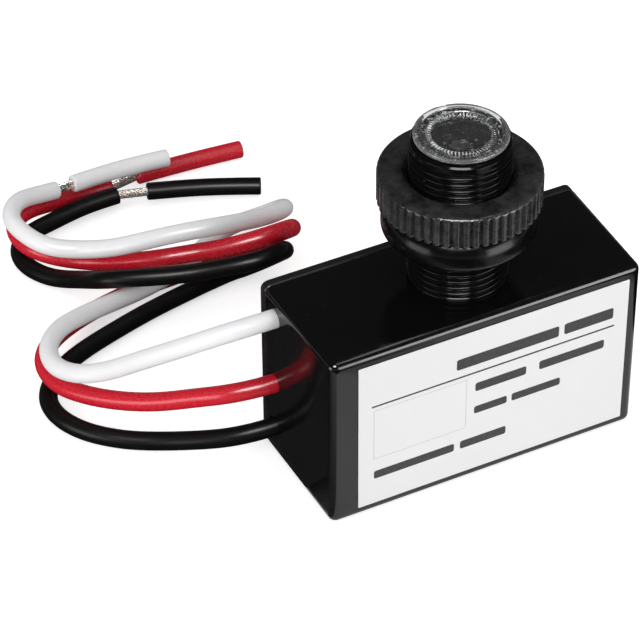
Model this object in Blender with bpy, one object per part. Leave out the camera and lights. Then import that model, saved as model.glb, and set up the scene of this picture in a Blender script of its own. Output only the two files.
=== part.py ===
"""Button photocell switch: a moulded box with a threaded neck, its nut, gasket, lens, leads and circuit.

All sizes are metres. The origin is the middle of the box's bottom face, +Z runs up the neck,
-Y is the labelled front and -X is the end that the leads leave.
"""

import math

import bmesh
import bpy
import numpy as np
from mathutils import Matrix, Vector

# The box and its walls.
CASE_FRONT_LENGTH = 0.0510
CASE_DEPTH = 0.0219
CASE_HEIGHT = 0.0305
CASE_DRAFT = 0.022  # each end face leans out by this much per metre towards the open back
CASE_WALL = 0.0018
CASE_EDGE_RADIUS = 0.0012
CAVITY_EDGE_RADIUS = 0.0006

# The gap that touching pieces keep, and the running clearance of the nut on the neck.
SEAT_GAP = 0.0003
THREAD_CLEARANCE = 0.0001

# The cover that closes the back out to the box's outline, and its low lip inside the walls.
COVER_THICKNESS = 0.0015
COVER_SEAM = 0.0001
COVER_LIP = 0.0004

# The neck.
NECK_X = 0.0009
NECK_Y = 0.0003
NECK_RADIUS = 0.0075
NECK_HEIGHT = 0.0241
NECK_CHAMFER = 0.0005
NECK_WALL = 0.0019
NECK_THROAT_STEP = 0.0012

# The lens in the neck's mouth.
LENS_FLANGE_SET = 0.0006  # how far the flange stays inside the neck's outer edge
LENS_FLANGE_THICKNESS = 0.0006
LENS_EDGE_RADIUS = 0.00015
LENS_WINDOW_SET = 0.0010
LENS_WINDOW_THICKNESS = 0.0007
LENS_SPIGOT_WALL = 0.0007
LENS_SPIGOT_DEPTH = 0.0008
LENS_DOME_RISE = 0.0004
LENS_STEP = 0.0002

# The sensor and the sleeve that carries it.
SLEEVE_DEPTH = 0.0106
SLEEVE_WALL = 0.0010
SLEEVE_WEB = 0.0010
SLEEVE_WEB_LEDGE = 0.0004
SENSOR_RADIUS = 0.0026
SENSOR_THICKNESS = 0.0020
SENSOR_DEPTH = 0.0025
SENSOR_LEAD_DIAMETER = 0.0006
SENSOR_LEAD_PITCH = 0.00254
SENSOR_JOINT_DROP = 0.0028  # from the board's top edge to where the sensor's wires meet it

# The gasket.
GASKET_WALL = 0.00355
PANEL_SPACE = 0.0081  # between the box and the gasket
GASKET_THICKNESS = 0.0050
GASKET_SHOULDER = 0.0018
GASKET_FOOT = 0.0005

# The ring nut.
NUT_WALL = 0.0044
NUT_HEIGHT = 0.0051
NUT_RIBS = 52
NUT_RIB_DEPTH = 0.00035
NUT_CHAMFER = 0.0004
NUT_SINK_WIDTH = 0.0007
NUT_SINK_DEPTH = 0.0007
NUT_LEAD_IN = 0.0004

# The label.
LABEL_LEFT_MARGIN = 0.0043
LABEL_RIGHT_MARGIN = 0.0021
LABEL_BOTTOM_MARGIN = 0.00185
LABEL_TOP_MARGIN = 0.00195
LABEL_THICKNESS = 0.00015
LABEL_GAP = 0.0001
LABEL_CORNER_RADIUS = 0.0004

# The circuit board and the grooves that hold it.
BOARD_FRONT_Y = 0.0030
BOARD_THICKNESS = 0.0016
RIB_DEPTH = 0.0012
RIB_WIDTH = 0.0010

# The components. A place is a share of the board's length (X) or height (Z). A length is a share of
# the board's length, a radius of its height, and a stand of the room in front of it.
RELAY_X = (0.589, 0.968)
RELAY_Z = (0.065, 0.635)
RELAY_STAND = 0.86
FILM_CAPACITOR_X = (0.057, 0.331)
FILM_CAPACITOR_Z = (0.065, 0.293)
FILM_CAPACITOR_STAND = 0.93
CAN_X = 0.437
CAN_Z = 0.764
CAN_RADIUS = 0.152
CAN_STAND = 0.93
VARISTOR_X = (0.137, 0.209)
VARISTOR_Z = 0.475
VARISTOR_RADIUS = 0.137
VARISTOR_OVERHANG = 1.03
DIODE_X = 0.445
DIODE_Z = 0.095
DIODE_PITCH = 0.1255
DIODE_LENGTH = 0.105
DIODE_RADIUS = 0.049
RESISTOR_X = 0.173
DROPPER_Z = 0.878
DROPPER_LENGTH = 0.190
DROPPER_RADIUS = 0.061
SENSE_Z = 0.726
DELAY_X = 0.711
DELAY_Z = 0.764
SMALL_RESISTOR_LENGTH = 0.133
SMALL_RESISTOR_RADIUS = 0.0455
ZENER_X = 0.289
ZENER_Z = 0.4525
ZENER_LENGTH = 0.080
ZENER_RADIUS = 0.038
TRANSISTOR_X = 0.890
TRANSISTOR_Z = 0.825
TRANSISTOR_RADIUS = 0.0875
TRANSISTOR_STAND = 0.39
COMPONENT_EDGE = 0.02  # the rounding of a boxed component, as a share of the board's height

# The leads.
LEAD_DIAMETER = 0.0029
STRAND_DIAMETER = 0.0014
LEAD_STEP = 0.0034  # spacing of the points along a lead
LEAD_REACH = 0.0026  # how far a lead goes on inside the wall, and straight on outside it
FLOOR_GAP = 0.00005

# Each lead's hole in the left end: how far the lead stays in front of the cover's lip, and how high.
WHITE_HOLE_SET = 0.0011
WHITE_HOLE_DROP = 0.0037
RED_HOLE_SET = 0.0006
RED_HOLE_SHARE = 0.4623
BLACK_HOLE_SET = 0.0002
BLACK_HOLE_RISE = 0.0052

# Each lead's route after its hole, in millimetres: over to the left, back in a fold on the right,
# and round to its stripped end. The leads cross over each other in low humps.
WHITE_ROUTE_MM = [
    (-34.5, 7.5, 26.0), (-39.0, 11.0, 22.8), (-43.5, 16.5, 17.8), (-47.0, 21.5, 13.4), (-49.8, 26.0, 10.7),
    (-51.2, 31.0, 9.2), (-50.0, 36.0, 8.4), (-46.5, 40.2, 7.4), (-41.5, 43.3, 5.9), (-34.5, 46.0, 4.3),
    (-26.0, 47.8, 4.1), (-20.3, 49.3, 4.9), (-13.9, 53.6, 4.1), (-7.3, 57.5, 2.2), (-3.6, 56.8, 3.0),
    (-1.9, 54.9, 4.8), (-1.9, 52.3, 6.9), (-3.7, 49.9, 8.6), (-6.5, 48.4, 9.7), (-18.0, 46.4, 12.7),
    (-22.1, 47.4, 12.5), (-26.9, 49.5, 11.3), (-31.6, 52.6, 9.3), (-35.9, 56.7, 7.5), (-40.2, 59.5, 7.8),
    (-42.6, 63.8, 8.3), (-42.8, 68.2, 8.3), (-40.2, 72.1, 7.8), (-35.6, 74.3, 6.3), (-32.2, 75.1, 5.5),
]
RED_ROUTE_MM = [
    (-33.0, 8.8, 13.2), (-36.5, 12.1, 11.3), (-40.3, 16.1, 9.0), (-45.3, 22.1, 6.6), (-48.8, 27.2, 5.4),
    (-50.9, 32.1, 4.9), (-50.8, 36.5, 4.9), (-48.1, 41.0, 4.2), (-42.3, 45.7, 2.7), (-33.9, 49.4, 1.5),
    (-26.5, 50.4, 1.5), (-19.9, 50.7, 1.5), (-14.2, 51.2, 1.5), (-8.1, 52.1, 1.6), (-5.1, 51.2, 2.8),
    (-3.4, 49.0, 5.0), (-3.5, 46.3, 7.5), (-5.5, 44.0, 9.6), (-8.4, 42.8, 10.6), (-17.1, 45.0, 9.1),
    (-20.0, 46.5, 8.4), (-25.6, 48.9, 7.5), (-31.2, 53.9, 5.2), (-36.0, 58.8, 3.9), (-40.0, 61.8, 4.5),
    (-42.2, 65.8, 4.9), (-41.5, 70.5, 4.9), (-37.5, 74.4, 3.7), (-32.0, 76.3, 2.2), (-26.1, 76.8, 1.5),
    (-21.9, 76.5, 1.5),
]
BLACK_ROUTE_MM = [
    (-33.0, 9.4, 4.1), (-37.0, 12.3, 2.9), (-41.0, 15.4, 1.9), (-45.5, 18.6, 1.5), (-49.5, 22.4, 1.5),
    (-52.0, 27.0, 1.5), (-52.2, 32.0, 1.5), (-49.3, 36.4, 1.5), (-44.3, 39.7, 1.5), (-37.5, 42.2, 1.5),
    (-29.8, 44.4, 1.5), (-22.7, 45.9, 1.5), (-17.1, 46.9, 1.5), (-11.5, 47.3, 1.6), (-8.6, 46.3, 2.8),
    (-6.9, 44.3, 5.0), (-7.1, 41.6, 7.6), (-8.9, 39.3, 9.7), (-12.1, 38.0, 10.5), (-19.5, 40.5, 9.2),
    (-23.0, 42.2, 8.4), (-27.1, 44.0, 8.0), (-31.2, 46.1, 7.6), (-34.9, 48.9, 6.6), (-37.2, 54.4, 3.5),
    (-40.3, 59.4, 1.6), (-42.3, 63.4, 1.5), (-42.2, 67.6, 1.5), (-39.6, 70.8, 1.5), (-34.8, 72.3, 1.6),
    (-29.0, 73.0, 2.1), (-22.4, 72.9, 2.5),
]

# The bare strands and the slug of insulation after each route, as the slug's start, middle and end.
WHITE_SLUG_MM = [(-29.2, 75.6, 5.3), (-20.5, 76.2, 4.9), (-11.9, 75.9, 4.6)]
RED_SLUG_MM = [(-17.0, 77.4, 1.5), (-7.6, 77.0, 1.5), (1.7, 76.2, 1.5)]
BLACK_SLUG_MM = [(-17.6, 71.8, 2.3), (-8.6, 69.2, 1.8), (0.2, 65.5, 1.5)]

ROUND_SIDES = 48

CASE_FRONT_Y = -CASE_DEPTH / 2
CASE_BACK_Y = CASE_DEPTH / 2
CEILING_Z = CASE_HEIGHT - CASE_WALL
COVER_SEAT_Y = CASE_BACK_Y - COVER_THICKNESS
COVER_LIP_Y = COVER_SEAT_Y - COVER_LIP
CASE_RIM_Y = COVER_SEAT_Y - COVER_SEAM
NECK_CENTRE = (NECK_X, NECK_Y)
NECK_TOP = CASE_HEIGHT + NECK_HEIGHT
NECK_BORE_RADIUS = NECK_RADIUS - NECK_WALL
NECK_THROAT_RADIUS = NECK_BORE_RADIUS - NECK_THROAT_STEP
SLEEVE_LEDGE_Z = NECK_TOP - SLEEVE_DEPTH
SENSOR_TOP_Z = NECK_TOP - SENSOR_DEPTH
LENS_FLANGE_RADIUS = NECK_RADIUS - LENS_FLANGE_SET
LENS_SPIGOT_RADIUS = NECK_BORE_RADIUS - SEAT_GAP
LENS_WINDOW_RADIUS = LENS_SPIGOT_RADIUS - LENS_WINDOW_SET
GASKET_BOTTOM = CASE_HEIGHT + PANEL_SPACE
GASKET_BORE_RADIUS = NECK_RADIUS + SEAT_GAP
GASKET_RADIUS = GASKET_BORE_RADIUS + GASKET_WALL
NUT_BOTTOM = GASKET_BOTTOM + GASKET_THICKNESS + SEAT_GAP
NUT_BORE_RADIUS = NECK_RADIUS + THREAD_CLEARANCE
NUT_RADIUS = NUT_BORE_RADIUS + NUT_WALL
BOARD_BACK_Y = BOARD_FRONT_Y + BOARD_THICKNESS
BOARD_LOW = CASE_WALL + SEAT_GAP
BOARD_HIGH = CEILING_Z - SEAT_GAP
BOARD_SEAT_Y = BOARD_FRONT_Y - SEAT_GAP
LEAD_BACK_Y = COVER_LIP_Y - LEAD_DIAMETER / 2
WHITE_EXIT = (LEAD_BACK_Y - WHITE_HOLE_SET, CASE_HEIGHT - WHITE_HOLE_DROP)
RED_EXIT = (LEAD_BACK_Y - RED_HOLE_SET, CASE_HEIGHT * RED_HOLE_SHARE)
BLACK_EXIT = (LEAD_BACK_Y - BLACK_HOLE_SET, BLACK_HOLE_RISE)


def clear_scene():
    for obj in list(bpy.data.objects):
        bpy.data.objects.remove(obj, do_unlink=True)


def finish(name, colour, roughness, metallic=0.0, alpha=1.0):
    """A plain material of one colour."""
    material = bpy.data.materials.new(name)
    material.use_nodes = True
    shader = material.node_tree.nodes["Principled BSDF"]
    shader.inputs["Base Color"].default_value = (*colour, 1.0)
    shader.inputs["Roughness"].default_value = roughness
    shader.inputs["Metallic"].default_value = metallic
    shader.inputs["Alpha"].default_value = alpha
    return material


def add_object(name, mesh, material=None):
    obj = bpy.data.objects.new(name, mesh)
    bpy.context.scene.collection.objects.link(obj)
    if material:
        mesh.materials.append(material)
    return obj


def mesh_from(form, name, material=None, smooth=False):
    """Turns a bmesh into an object, with its faces pointing out."""
    bmesh.ops.recalc_face_normals(form, faces=form.faces[:])
    for face in form.faces:
        face.smooth = smooth
    mesh = bpy.data.meshes.new(name)
    form.to_mesh(mesh)
    form.free()
    return add_object(name, mesh, material)


def helper(obj):
    """Marks a cutter or a piece that is joined into another."""
    obj.hide_render = True
    obj.display_type = "WIRE"
    return obj


def combine(obj, other, operation):
    """Cuts other from obj, or joins it on."""
    modifier = obj.modifiers.new(f"{operation.lower()} {other.name}", "BOOLEAN")
    modifier.object = helper(other)
    modifier.operation = operation
    modifier.solver = "EXACT"


def turned(name, profile, centre=(0.0, 0.0), material=None, sides=ROUND_SIDES):
    """Turns a closed profile of (radius, height) points about the vertical axis through centre."""
    form = bmesh.new()
    rings = []
    for radius, height in profile:
        if radius < 1e-9:
            rings.append([form.verts.new((*centre, height))])
            continue
        angles = [2 * math.pi * i / sides for i in range(sides)]
        rings.append([
            form.verts.new((centre[0] + radius * math.cos(a), centre[1] + radius * math.sin(a), height))
            for a in angles
        ])
    join_rings(form, rings, sides)
    return mesh_from(form, name, material, smooth=True)


def join_rings(form, rings, sides):
    """Joins each ring to the next and the last to the first; a ring of one point is a pole."""
    for ring, after in zip(rings, rings[1:] + rings[:1]):
        if len(ring) == 1 and len(after) == 1:
            continue
        for i in range(sides):
            j = (i + 1) % sides
            if len(ring) == 1:
                form.faces.new((ring[0], after[j], after[i]))
            elif len(after) == 1:
                form.faces.new((ring[i], ring[j], after[0]))
            else:
                form.faces.new((ring[i], ring[j], after[j], after[i]))


def half_length(y):
    """Half the box's length at y: the ends have the mould's draft."""
    return CASE_FRONT_LENGTH / 2 + CASE_DRAFT * (y - CASE_FRONT_Y)


def drafted_box(name, y_range, z_range, inset, edge_radius, material=None, slab=False):
    """A block between two depths whose ends follow the box's drafted ends, inset from them.

    Its edges are rounded apart from the back's, and a slab's only where it runs from front to back.
    """
    form = bmesh.new()
    corners = {}
    for side in (-1, 1):
        for y in y_range:
            for z in z_range:
                x = side * (half_length(y) - inset)
                corners[side, y, z] = form.verts.new((x, y, z))
    bmesh.ops.convex_hull(form, input=list(form.verts))
    bmesh.ops.dissolve_limit(form, angle_limit=0.001, verts=form.verts[:], edges=form.edges[:])
    flat = [{corners[side, y, z] for side in (-1, 1) for z in z_range} for y in (y_range if slab else y_range[1:])]
    edges = [edge for edge in form.edges if not any(set(edge.verts) <= rim for rim in flat)]
    bmesh.ops.bevel(form, geom=edges, offset=edge_radius, segments=4, profile=0.5, affect="EDGES",
                    clamp_overlap=True)
    return mesh_from(form, name, material)


def block(name, low, high, material=None, edge=0.0, segments=2):
    """A box between two corners, with its edges rounded."""
    form = bmesh.new()
    size = Vector(high) - Vector(low)
    bmesh.ops.create_cube(form, size=1.0)
    bmesh.ops.scale(form, vec=size, verts=form.verts[:])
    bmesh.ops.translate(form, vec=(Vector(high) + Vector(low)) / 2, verts=form.verts[:])
    if edge:
        bmesh.ops.bevel(form, geom=form.edges[:], offset=edge, segments=segments, profile=0.5,
                        affect="EDGES", clamp_overlap=True)
    return mesh_from(form, name, material)


def rod(name, start, end, radius, material=None, sides=24, edge=0.0):
    """A round bar between two points, with its two rims rounded."""
    start, end = Vector(start), Vector(end)
    length = (end - start).length
    profile = [(0.0, 0.0), (radius - edge, 0.0), (radius, edge), (radius, length - edge),
               (radius - edge, length), (0.0, length)]
    if not edge:
        profile = [(0.0, 0.0), (radius, 0.0), (radius, length), (0.0, length)]
    obj = turned(name, profile, material=material, sides=sides)
    turn = (end - start).to_track_quat("Z", "Y").to_matrix().to_4x4()
    obj.data.transform(Matrix.Translation(start) @ turn)
    return obj


def neck_blank():
    """The neck before it is bored, joined into the top wall."""
    bottom = CASE_HEIGHT - CASE_WALL / 2
    return turned("neck_blank", [
        (0.0, bottom),
        (NECK_RADIUS, bottom),
        (NECK_RADIUS, NECK_TOP - NECK_CHAMFER),
        (NECK_RADIUS - NECK_CHAMFER, NECK_TOP),
        (0.0, NECK_TOP),
    ], NECK_CENTRE)


def neck_bore():
    """The stepped hole down the neck: the step carries the sensor's sleeve."""
    return turned("neck_bore", [
        (0.0, CEILING_Z - CASE_WALL),
        (NECK_THROAT_RADIUS, CEILING_Z - CASE_WALL),
        (NECK_THROAT_RADIUS, SLEEVE_LEDGE_Z),
        (NECK_BORE_RADIUS, SLEEVE_LEDGE_Z),
        (NECK_BORE_RADIUS, NECK_TOP + CASE_WALL),
        (0.0, NECK_TOP + CASE_WALL),
    ], NECK_CENTRE)


def board_rib(name, side, y_low, y_high):
    """One rib of a groove on an end wall, from floor to ceiling."""
    wall_x = half_length(y_low) - CASE_WALL
    inner, outer = wall_x - RIB_DEPTH, wall_x + CASE_WALL / 2
    x_low, x_high = sorted((side * inner, side * outer))
    return block(name, (x_low, y_low, CASE_WALL / 2), (x_high, y_high, CASE_HEIGHT - CASE_WALL / 2))


def build_case(material):
    """The moulding: a box open at the back, its neck, its board grooves and its lead holes."""
    case = drafted_box("case", (CASE_FRONT_Y, CASE_RIM_Y), (0.0, CASE_HEIGHT), 0.0,
                       CASE_EDGE_RADIUS, material)
    combine(case, neck_blank(), "UNION")
    beyond = CASE_BACK_Y + CASE_WALL
    combine(case, drafted_box("cavity", (CASE_FRONT_Y + CASE_WALL, beyond), (CASE_WALL, CEILING_Z),
                              CASE_WALL, CAVITY_EDGE_RADIUS), "DIFFERENCE")
    for side, end in ((-1, "left"), (1, "right")):
        front = BOARD_FRONT_Y - SEAT_GAP
        back = BOARD_BACK_Y + SEAT_GAP
        combine(case, board_rib(f"{end}_front_rib", side, front - RIB_WIDTH, front), "UNION")
        combine(case, board_rib(f"{end}_back_rib", side, back, back + RIB_WIDTH), "UNION")
    combine(case, neck_bore(), "DIFFERENCE")
    for name, (y, z) in (("white", WHITE_EXIT), ("red", RED_EXIT), ("black", BLACK_EXIT)):
        outer, inner = -half_length(y) - CASE_WALL, -half_length(y) + 2 * CASE_WALL
        hole = rod(f"{name}_hole", (outer, y, z), (inner, y, z), LEAD_DIAMETER / 2 + SEAT_GAP)
        combine(case, hole, "DIFFERENCE")
    return case


def build_cover(material):
    """The plate that closes the back, with a low lip that locates it inside the walls."""
    cover = drafted_box("back_cover", (COVER_SEAT_Y, CASE_BACK_Y), (0.0, CASE_HEIGHT), 0.0,
                        CASE_EDGE_RADIUS, material, slab=True)
    inset = CASE_WALL + SEAT_GAP
    lip = drafted_box("cover_lip", (COVER_LIP_Y, CASE_BACK_Y - COVER_THICKNESS / 2),
                      (inset, CASE_HEIGHT - inset), inset, COVER_LIP / 2)
    combine(cover, lip, "UNION")
    return cover


def build_lens(material):
    """The clear window: a flange on the neck's rim, a spigot in its bore and a low dome."""
    bottom = NECK_TOP + SEAT_GAP
    top = bottom + LENS_FLANGE_THICKNESS
    spigot = LENS_SPIGOT_RADIUS
    window_top = top - LENS_STEP
    window_bottom = window_top - LENS_WINDOW_THICKNESS
    dome = [
        (LENS_WINDOW_RADIUS * math.cos(a), window_top - LENS_STEP + LENS_DOME_RISE * math.sin(a))
        for a in np.radians((0, 35, 65))
    ]
    profile = [
        (0.0, window_bottom),
        (spigot - LENS_SPIGOT_WALL, window_bottom),
        (spigot - LENS_SPIGOT_WALL, NECK_TOP - LENS_SPIGOT_DEPTH),
        (spigot, NECK_TOP - LENS_SPIGOT_DEPTH),
        (spigot, bottom),
        (LENS_FLANGE_RADIUS, bottom),
        (LENS_FLANGE_RADIUS, top - LENS_EDGE_RADIUS),
        (LENS_FLANGE_RADIUS - LENS_EDGE_RADIUS, top),
        (spigot + LENS_SPIGOT_WALL, top),
        (spigot + LENS_SPIGOT_WALL / 2, window_top),
        (LENS_WINDOW_RADIUS + LENS_STEP, window_top),
        *dome,
        (0.0, window_top - LENS_STEP + LENS_DOME_RISE),
    ]
    return turned("lens", profile, NECK_CENTRE, material)


def build_sleeve(material):
    """The tube in the neck, with a web that the sensor stands on."""
    outer = LENS_SPIGOT_RADIUS
    inner = outer - SLEEVE_WALL
    hole = SENSOR_RADIUS - SLEEVE_WEB_LEDGE
    bottom = SLEEVE_LEDGE_Z + SEAT_GAP
    top = NECK_TOP - LENS_SPIGOT_DEPTH - SEAT_GAP
    web_top = SENSOR_TOP_Z - SENSOR_THICKNESS - SEAT_GAP
    return turned("sensor_sleeve", [
        (inner, bottom), (outer, bottom), (outer, top), (inner, top), (inner, web_top),
        (hole, web_top), (hole, web_top - SLEEVE_WEB), (inner, web_top - SLEEVE_WEB),
    ], NECK_CENTRE, material, sides=36)


def build_sensor(material):
    bottom = (*NECK_CENTRE, SENSOR_TOP_Z - SENSOR_THICKNESS)
    return rod("light_sensor", bottom, (*NECK_CENTRE, SENSOR_TOP_Z), SENSOR_RADIUS, material,
               sides=32, edge=0.0002)


def build_sensor_leads(material):
    """The two wires from the sensor, down the neck and over to the board's front."""
    start_z = SENSOR_TOP_Z - SENSOR_THICKNESS - SEAT_GAP
    end_y = BOARD_SEAT_Y - SENSOR_LEAD_DIAMETER / 2
    joint_z = BOARD_HIGH - SENSOR_JOINT_DROP
    reach = end_y - NECK_Y
    for name, side in (("sensor_lead_a", -1), ("sensor_lead_b", 1)):
        x = NECK_X + side * SENSOR_LEAD_PITCH / 2
        route = [(x, NECK_Y, start_z), (x, NECK_Y, SLEEVE_LEDGE_Z), (x, NECK_Y, CASE_HEIGHT),
                 (x, NECK_Y + 0.2 * reach, joint_z + 1.2 * reach),
                 (x, NECK_Y + 0.5 * reach, joint_z + 0.5 * reach),
                 (x, end_y, joint_z)]
        tube(name, route, SENSOR_LEAD_DIAMETER, material)


def build_gasket(material):
    """The rubber washer: a rounded shoulder under the nut and a slightly rounded foot."""
    inner = GASKET_BORE_RADIUS
    bottom, top = GASKET_BOTTOM, GASKET_BOTTOM + GASKET_THICKNESS
    shoulder = [
        (GASKET_RADIUS - GASKET_SHOULDER * (1 - math.cos(a)), top - GASKET_SHOULDER * (1 - math.sin(a)))
        for a in np.radians((0, 18, 36, 54, 72, 90))
    ]
    foot = [
        (GASKET_RADIUS - GASKET_FOOT * (1 - math.sin(a)), bottom + GASKET_FOOT * (1 - math.cos(a)))
        for a in np.radians((0, 45, 90))
    ]
    return turned("gasket", [(inner, bottom), *foot, *shoulder, (inner, top)], NECK_CENTRE, material)


def nut_ring(form, height, radius, depth=0.0):
    """One ring of the nut, a crest and a root for each rib; a ring with no depth is round."""
    ring = []
    for rib in range(NUT_RIBS):
        for share, drop in ((0.0, 1.0), (0.25, 0.25), (0.5, 0.0), (0.75, 0.25)):
            angle = 2 * math.pi * (rib + share) / NUT_RIBS
            r = radius - depth * drop
            point = (NECK_X + r * math.cos(angle), NECK_Y + r * math.sin(angle), height)
            ring.append(form.verts.new(point))
    return ring


def build_nut(material):
    """The ribbed ring nut with a chamfered top edge and a countersunk bore."""
    form = bmesh.new()
    bore = NUT_BORE_RADIUS
    bottom, top = NUT_BOTTOM, NUT_BOTTOM + NUT_HEIGHT
    rings = [
        nut_ring(form, bottom, bore + NUT_LEAD_IN),
        nut_ring(form, bottom, NUT_RADIUS - NUT_RIB_DEPTH - NUT_CHAMFER / 2),
        nut_ring(form, bottom + NUT_CHAMFER / 2, NUT_RADIUS, NUT_RIB_DEPTH),
        nut_ring(form, top - NUT_CHAMFER, NUT_RADIUS, NUT_RIB_DEPTH),
        nut_ring(form, top, NUT_RADIUS - NUT_CHAMFER),
        nut_ring(form, top, bore + NUT_SINK_WIDTH),
        nut_ring(form, top - NUT_SINK_DEPTH, bore),
        nut_ring(form, bottom + NUT_LEAD_IN, bore),
    ]
    join_rings(form, rings, len(rings[0]))
    return mesh_from(form, "lock_nut", material)


def build_label(material):
    """The thin plate on the front face, with rounded corners."""
    form = bmesh.new()
    back = CASE_FRONT_Y - LABEL_GAP
    left, right = LABEL_LEFT_MARGIN - CASE_FRONT_LENGTH / 2, CASE_FRONT_LENGTH / 2 - LABEL_RIGHT_MARGIN
    low, high = LABEL_BOTTOM_MARGIN, CASE_HEIGHT - LABEL_TOP_MARGIN
    outline = []
    corners = ((right, high, 0), (left, high, 90), (left, low, 180), (right, low, 270))
    for corner_x, corner_z, first in corners:
        middle_x = corner_x + math.copysign(LABEL_CORNER_RADIUS, (left + right) / 2 - corner_x)
        middle_z = corner_z + math.copysign(LABEL_CORNER_RADIUS, (low + high) / 2 - corner_z)
        for a in np.radians((first, first + 45, first + 90)):
            x, z = LABEL_CORNER_RADIUS * math.cos(a), LABEL_CORNER_RADIUS * math.sin(a)
            outline.append(form.verts.new((middle_x + x, back, middle_z + z)))
    face = form.faces.new(outline)
    made = bmesh.ops.extrude_face_region(form, geom=[face])
    moved = [item for item in made["geom"] if isinstance(item, bmesh.types.BMVert)]
    bmesh.ops.translate(form, vec=(0.0, -LABEL_THICKNESS, 0.0), verts=moved)
    return mesh_from(form, "label", material)


def smooth_path(points, step):
    """Evenly spaced points on a natural cubic through the given ones, spaced by their distance."""
    knots = np.array(points, float)
    at = np.concatenate(([0.0], np.cumsum(np.linalg.norm(np.diff(knots, axis=0), axis=1))))
    gaps = np.diff(at)
    count = len(knots)
    system = np.eye(count)
    pull = np.zeros((count, 3))
    for i in range(1, count - 1):
        system[i, i - 1:i + 2] = gaps[i - 1], 2 * (gaps[i - 1] + gaps[i]), gaps[i]
        pull[i] = 6 * ((knots[i + 1] - knots[i]) / gaps[i] - (knots[i] - knots[i - 1]) / gaps[i - 1])
    bend = np.linalg.solve(system, pull)
    where = np.linspace(0.0, at[-1], int(round(at[-1] / step)) + 1)
    k = np.clip(np.searchsorted(at, where, side="right") - 1, 0, count - 2)
    after, before, gap = (where - at[k])[:, None], (at[k + 1] - where)[:, None], gaps[k][:, None]
    path = (bend[k] * before**3 + bend[k + 1] * after**3) / (6 * gap)
    path += (knots[k] / gap - bend[k] * gap / 6) * before
    path += (knots[k + 1] / gap - bend[k + 1] * gap / 6) * after
    return path


def tube(name, path, diameter, material):
    """A round wire along a path."""
    curve = bpy.data.curves.new(name, "CURVE")
    curve.dimensions = "3D"
    curve.bevel_depth = diameter / 2
    curve.bevel_resolution = 2
    curve.use_fill_caps = True
    curve.materials.append(material)
    spline = curve.splines.new("POLY")
    spline.points.add(len(path) - 1)
    for point, place in zip(spline.points, path):
        point.co = (*place, 1.0)
    spline.use_smooth = True
    obj = bpy.data.objects.new(name, curve)
    bpy.context.scene.collection.objects.link(obj)
    return obj


def shortened(path, by_start, by_end):
    """The path with a little taken off each end, along its own direction."""
    path = np.array(path, float)
    first, last = path[1] - path[0], path[-2] - path[-1]
    path[0] += first / np.linalg.norm(first) * by_start
    path[-1] += last / np.linalg.norm(last) * by_end
    return path


def build_lead(colour, exit_yz, route_mm, slug_mm, insulation, copper):
    """One lead from inside the wall to its end, with its stripped stretch and its slug."""
    y, z = exit_yz
    inside = -(half_length(y) - CASE_WALL - LEAD_REACH)
    outside = -(half_length(y) + LEAD_REACH)
    route = [(inside, y, z), (outside, y, z), *(np.array(route_mm) / 1000)]
    path = smooth_path(route, LEAD_STEP)
    path[:, 2] = np.maximum(path[:, 2], LEAD_DIAMETER / 2 + FLOOR_GAP)
    tube(f"lead_{colour}", path, LEAD_DIAMETER, insulation)
    slug = smooth_path(np.array(slug_mm) / 1000, LEAD_STEP)
    strands = shortened([path[-1], slug[0]], SEAT_GAP, SEAT_GAP)
    tube(f"{colour}_strands", strands, STRAND_DIAMETER, copper)
    tube(f"{colour}_slug", slug, LEAD_DIAMETER, insulation)


def along(share):
    """A place along the board, as a share of its length from the left."""
    return (2 * share - 1) * (half_length(BOARD_FRONT_Y) - CASE_WALL - SEAT_GAP)


def up(share):
    """A place on the board, as a share of its height from the bottom."""
    return BOARD_LOW + span(share)


def span(share):
    """A share of the board's height."""
    return share * (BOARD_HIGH - BOARD_LOW)


def out(share):
    """A place in the room between the board and the front wall."""
    return BOARD_SEAT_Y - share * (BOARD_SEAT_Y - CASE_FRONT_Y - CASE_WALL)


def build_board(material):
    """The board stands in the grooves, between floor and ceiling."""
    return block("circuit_board", (along(0.0), BOARD_FRONT_Y, BOARD_LOW),
                 (along(1.0), BOARD_BACK_Y, BOARD_HIGH), material)


def on_board(name, x_shares, z_shares, stand, material):
    """A boxed component standing off the board's front."""
    return block(name, (along(x_shares[0]), out(stand), up(z_shares[0])),
                 (along(x_shares[1]), BOARD_SEAT_Y, up(z_shares[1])), material, span(COMPONENT_EDGE))


def lying_on_board(name, x_share, z_share, length_share, radius_share, material):
    """A round component lying along the board's front."""
    radius = span(radius_share)
    y, z = BOARD_SEAT_Y - radius, up(z_share)
    start, end = along(x_share - length_share / 2), along(x_share + length_share / 2)
    return rod(name, (start, y, z), (end, y, z), radius, material, sides=16, edge=radius / 4)


def build_transistor(material):
    """A half-round package standing off the board."""
    radius, x, z = span(TRANSISTOR_RADIUS), along(TRANSISTOR_X), up(TRANSISTOR_Z)
    form = bmesh.new()
    outline = [
        form.verts.new((x + radius * math.cos(a), BOARD_SEAT_Y, z + radius * math.sin(a)))
        for a in np.radians(np.linspace(-30, 210, 13))
    ]
    face = form.faces.new(outline)
    made = bmesh.ops.extrude_face_region(form, geom=[face])
    moved = [item for item in made["geom"] if isinstance(item, bmesh.types.BMVert)]
    bmesh.ops.translate(form, vec=(0.0, out(TRANSISTOR_STAND) - BOARD_SEAT_Y, 0.0), verts=moved)
    return mesh_from(form, "transistor", material)


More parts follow.
